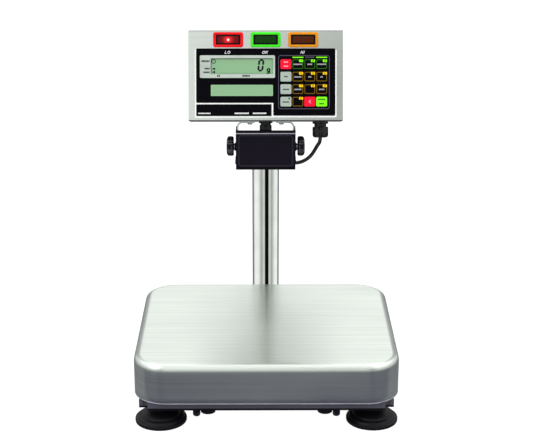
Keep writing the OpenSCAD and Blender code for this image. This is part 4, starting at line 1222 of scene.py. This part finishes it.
@dataclass
class Cable:
    """The cell's cable: from the gland behind the head, down in the pole and forward to the cell, in millimetres."""

    radius: float = 3.0
    route: tuple[Vec3, ...] = (
        (86.5, 190.2, 345), (86.5, 188, 337.4), (85.2, 187.2, 330), (81.6, 190, 323), (74, 197, 307.5),
        (65.7, 206, 296.5), (56, 215, 289), (46, 221.5, 286), (35, 224, 288), (25, 221, 294), (16, 213, 299),
        (8, 203, 301), (2, 195, 297), (0, 192, 288), (0, 192, 260), (0, 192, 210), (0, 192, 160), (0, 192, 110),
        (0, 192, 70), (0, 190, 55), (0, 182, 42), (0, 170, 37), (0, 150, 37), (0, 125, 37), (0, 103, 39),
        (0, 92, 46), (0, 84, 53), (0, 75, 55))

    def build(self) -> None:
        """One smooth tube that bends between the base and the indicator."""
        path = smooth_route(np.array(self.route), 8)
        along = np.concatenate([[0], np.cumsum(np.linalg.norm(np.diff(path, axis=0), axis=1))])
        grid = tube_along(path, self.radius, 20)
        along = np.concatenate([along[:1], along, along[-1:]])
        sheet = np.stack(np.broadcast_arrays(along[:, None], np.linspace(0, 19, 20)[None, :]), -1) * MM
        made = Piece("load_cell_cable_jacket").shell(grid, Coats.JACKET, sheet=sheet).build(
            "", "cable_jacket", ("load_cell_cable",), (0, PAN_Y, 0), 60)
        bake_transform(made)
        LOG.info("cable length %.0f mm", along[-1])


# ---- Studio ----


@dataclass
class Studio:
    """A pale floor, a soft sky that is told apart by direction, cards for the steel to mirror, and the camera."""

    camera_place: Vec3 = (-0.0075, -1.96163, 0.92451)
    camera_turn: Vec3 = (90.0 - 18.852, 0.0, -0.24)
    lens: float = 93.47
    flag_turn: float = 7.0

    def build(self) -> None:
        """Floor, sky, cards, lights and camera."""
        bpy.context.scene.view_settings.view_transform = "Standard"
        self.floor()
        self.sky()
        self.cards()
        self.pole_card()
        self.light("key_light", (-1.5, -1.4, 2.1), 1.6, 9.0)
        self.light("top_light", (0.5, 0.4, 2.4), 2.0, 4.0)
        self.camera()

    @staticmethod
    def staged(name: str, points: list[Vec3], faces: list[tuple[int, ...]],
               material: bpy.types.Material) -> bpy.types.Object:
        """A stage piece of plain faces, in metres."""
        mesh = bpy.data.meshes.new(name)
        mesh.from_pydata(points, [], faces)
        mesh.materials.append(material)
        made = bpy.data.objects.new(name, mesh)
        bpy.context.scene.collection.objects.link(made)
        return made

    @staticmethod
    def mirror_only(card: bpy.types.Object) -> None:
        """Let a card show in nothing but a reflection."""
        card.visible_camera = card.visible_diffuse = card.visible_shadow = card.visible_transmission = False

    def floor(self) -> None:
        """A wide white floor that the steel doesn't mirror."""
        material = bpy.data.materials.new("studio_floor")
        graph = Graph(material)
        cloud = graph.noise(graph.placed((1, 1, 1)), 0.8, 2)
        graph.dress(Base_Color=graph.shade(cloud, (0.12, 0.12, 0.12), 0.99, 1.0), Roughness=0.9,
                    Specular_IOR_Level=0.0, Emission_Color=(1.0, 1.0, 1.0), Emission_Strength=1.0)
        wide, low = 30.0, -0.0003
        corners = [(-wide, -wide, low), (wide, -wide, low), (wide, wide, low), (-wide, wide, low)]
        self.staged("studio_floor", corners, [(0, 1, 2, 3)], material).visible_glossy = False

    def sky(self) -> None:
        """Brightness by direction: grey below the horizon, softer in front, and brighter overhead."""
        world = bpy.data.worlds.new("studio_sky")
        bpy.context.scene.world = world
        graph = Graph(world)
        way = graph.node("ShaderNodeTexCoord", {}).outputs["Generated"]
        axes = graph.node("ShaderNodeSeparateXYZ", {0: way}).outputs
        dome = graph.nodes.new("ShaderNodeValToRGB")
        for element, (place, tone) in zip(self.elements(dome.color_ramp, 6), [
                (0.0, (0.78, 0.80, 0.78)), (0.34, (0.90, 0.90, 0.90)), (0.46, (1.12, 1.12, 1.12)),
                (0.62, (1.75, 1.75, 1.75)), (0.92, (1.75, 1.75, 1.75)), (0.985, (1.05, 1.05, 1.05))]):
            element.position, element.color = place, (*tone, 1.0)
        graph.feed(dome.inputs[0], axes[2])
        front = graph.sums("MAXIMUM", graph.span(axes[1], -0.95, 0.2, 0.0, 1.0),
                           graph.span(axes[2], 0.4, 0.62, 0.0, 1.0))
        above = graph.tint(front, (0.86, 0.88, 0.86), dome.outputs[0])
        aside = graph.sums("ABSOLUTE", axes[0])
        flanks = graph.sums("MULTIPLY", graph.span(aside, 0.16, 0.24, 0.0, 1.0),
                            graph.span(aside, 0.42, 0.52, 1.0, 0.0))
        flanks = graph.sums("MULTIPLY", flanks, graph.span(axes[2], 0.62, 0.8, 0.62, 0.0))
        above = graph.tint(flanks, above, (0.10, 0.095, 0.13))
        streak = graph.span(graph.sums("ABSOLUTE", graph.sums("SUBTRACT", aside, 0.046)), 0.003, 0.012, 1.0, 0.0)
        streak = graph.sums("MULTIPLY", streak, graph.span(axes[2], 0.38, 0.42, 0.0, 0.5))
        above = graph.tint(streak, above, (1.9, 1.9, 1.9))
        mixed = graph.tint(graph.span(axes[2], -0.05, 0.03, 0.0, 1.0), (0.20, 0.20, 0.23), above)
        graph.feed(graph.nodes["Background"].inputs[0], mixed)

    @staticmethod
    def elements(ramp: bpy.types.ColorRamp, count: int) -> list[bpy.types.ColorRampElement]:
        """A ramp's elements, made up to a count."""
        while len(ramp.elements) < count:
            ramp.elements.new(1.0)
        return list(ramp.elements)

    def strips(self) -> list[tuple[float, float]]:
        """Strips as angle and grey, alike to each side of a black flag: a light, a gap and a broad card."""
        side = [(11, 0.004), (14, 0.7), (22, 0.7), (34, 0.4), (60, 1.0), (90, 1.0), (115, 0.4), (170, 0.4)]
        left = [(self.flag_turn - angle, grey) for angle, grey in reversed(side)]
        return left + [(self.flag_turn + angle, grey) for angle, grey in side]

    def stops(self, ramp: bpy.types.ColorRamp, strips: list[tuple[float, float]]) -> None:
        """Set grey strips on a ramp by their angle from the front, positive to the right."""
        for element, (angle, grey) in zip(self.elements(ramp, len(strips)), strips):
            element.position, element.color = (angle + 180) / 360, (grey * 0.975, grey, grey * 0.965, 1.0)

    def cards(self) -> None:
        """Cards to mirror: a dark one before the skirt, and a bright one for the case that fades to the right."""
        skirt = [(-0.62, -0.51, 0.002), (0.62, -0.51, 0.002), (0.62, -0.205, 0.002), (-0.62, -0.205, 0.002)]
        case = [(-0.40, -0.55, 0.475), (0.34, -0.55, 0.475), (0.34, -0.55, 0.80), (-0.40, -0.55, 0.80)]
        for name, tone, fades, corners in (("skirt_card", (0.046, 0.038, 0.092), False, skirt),
                                           ("case_card", (1.0, 1.0, 0.98), True, case)):
            material = bpy.data.materials.new(name)
            graph = Graph(material)
            across = graph.node("ShaderNodeSeparateXYZ", {0: graph.placed((1, 1, 1))}).outputs[0]
            power = graph.span(across, -0.15, 0.13, 1.08, 0.46) if fades else 1.0
            light = graph.node("ShaderNodeEmission", {0: (*tone, 1.0), 1: power})
            graph.feed(graph.nodes["Material Output"].inputs[0], light.outputs[0])
            self.mirror_only(self.staged(name, corners, [(0, 1, 2, 3)], material))

    def pole_card(self) -> None:
        """A ring of upright strips round the pole, clear from outside, so that one profile runs all the way down."""
        radius, reach, count = 0.045, 1.76, 97
        back = (PAN_Y + Column.pole_back) * MM
        angle = np.linspace(-reach, reach, count)
        ring = np.stack([np.sin(angle), -np.cos(angle)], -1) * radius + [0, back]
        points = np.concatenate([np.column_stack([ring, np.full(count, z)]) for z in (0.060, 0.290)])
        material = bpy.data.materials.new("pole_card")
        graph = Graph(material)
        fields = graph.node("ShaderNodeSeparateXYZ", {0: graph.placed((1, 1, 1), shift=(0, -back, 0))}).outputs
        compass = graph.sums("ARCTAN2", fields[0], graph.sums("MULTIPLY", fields[1], -1.0))
        strips = graph.nodes.new("ShaderNodeValToRGB")
        self.stops(strips.color_ramp, self.strips())
        graph.feed(strips.inputs[0], graph.span(compass, -math.pi, math.pi, 0.0, 1.0))
        glow = graph.node("ShaderNodeEmission", {0: strips.outputs[0]}).outputs[0]
        clear = graph.node("ShaderNodeBsdfTransparent", {}).outputs[0]
        side = graph.node("ShaderNodeNewGeometry", {}).outputs["Backfacing"]
        mixed = graph.node("ShaderNodeMixShader", {0: side, 1: clear, 2: glow}).outputs[0]
        graph.feed(graph.nodes["Material Output"].inputs[0], mixed)
        self.mirror_only(self.staged("pole_card", points.tolist(), grid_faces(2, count, wrap=False).tolist(), material))

    @staticmethod
    def light(name: str, place: Vec3, size: float, power: float) -> None:
        """A square soft light that looks at the object's middle."""
        lamp = bpy.data.lights.new(name, "AREA")
        lamp.shape, lamp.size, lamp.energy = "SQUARE", size, power
        made = bpy.data.objects.new(name, lamp)
        bpy.context.scene.collection.objects.link(made)
        made.location = place
        way = np.array([0, 0, 0.2]) - np.array(place)
        flat = math.hypot(way[0], way[1])
        made.rotation_euler = (math.pi / 2 - math.atan2(-way[2], flat), 0, math.atan2(way[1], way[0]) - math.pi / 2)

    def camera(self) -> None:
        """The camera, a little above the pan and far off."""
        data = bpy.data.cameras.new("camera")
        data.sensor_width, data.lens, data.clip_end = 36.0, self.lens, 60.0
        made = bpy.data.objects.new("camera", data)
        bpy.context.scene.collection.objects.link(made)
        made.location = self.camera_place
        made.rotation_euler = tuple(math.radians(a) for a in self.camera_turn)
        bpy.context.scene.camera = made


def main() -> None:
    """Build the scene in order."""
    Studio().build()
    Cable().build()
    Pan().build()
    Base().build()
    Feet().build()
    Column().build()
    Indicator().build()
    bpy.context.view_layer.update()
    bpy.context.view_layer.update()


if __name__ == "__main__":
    main()
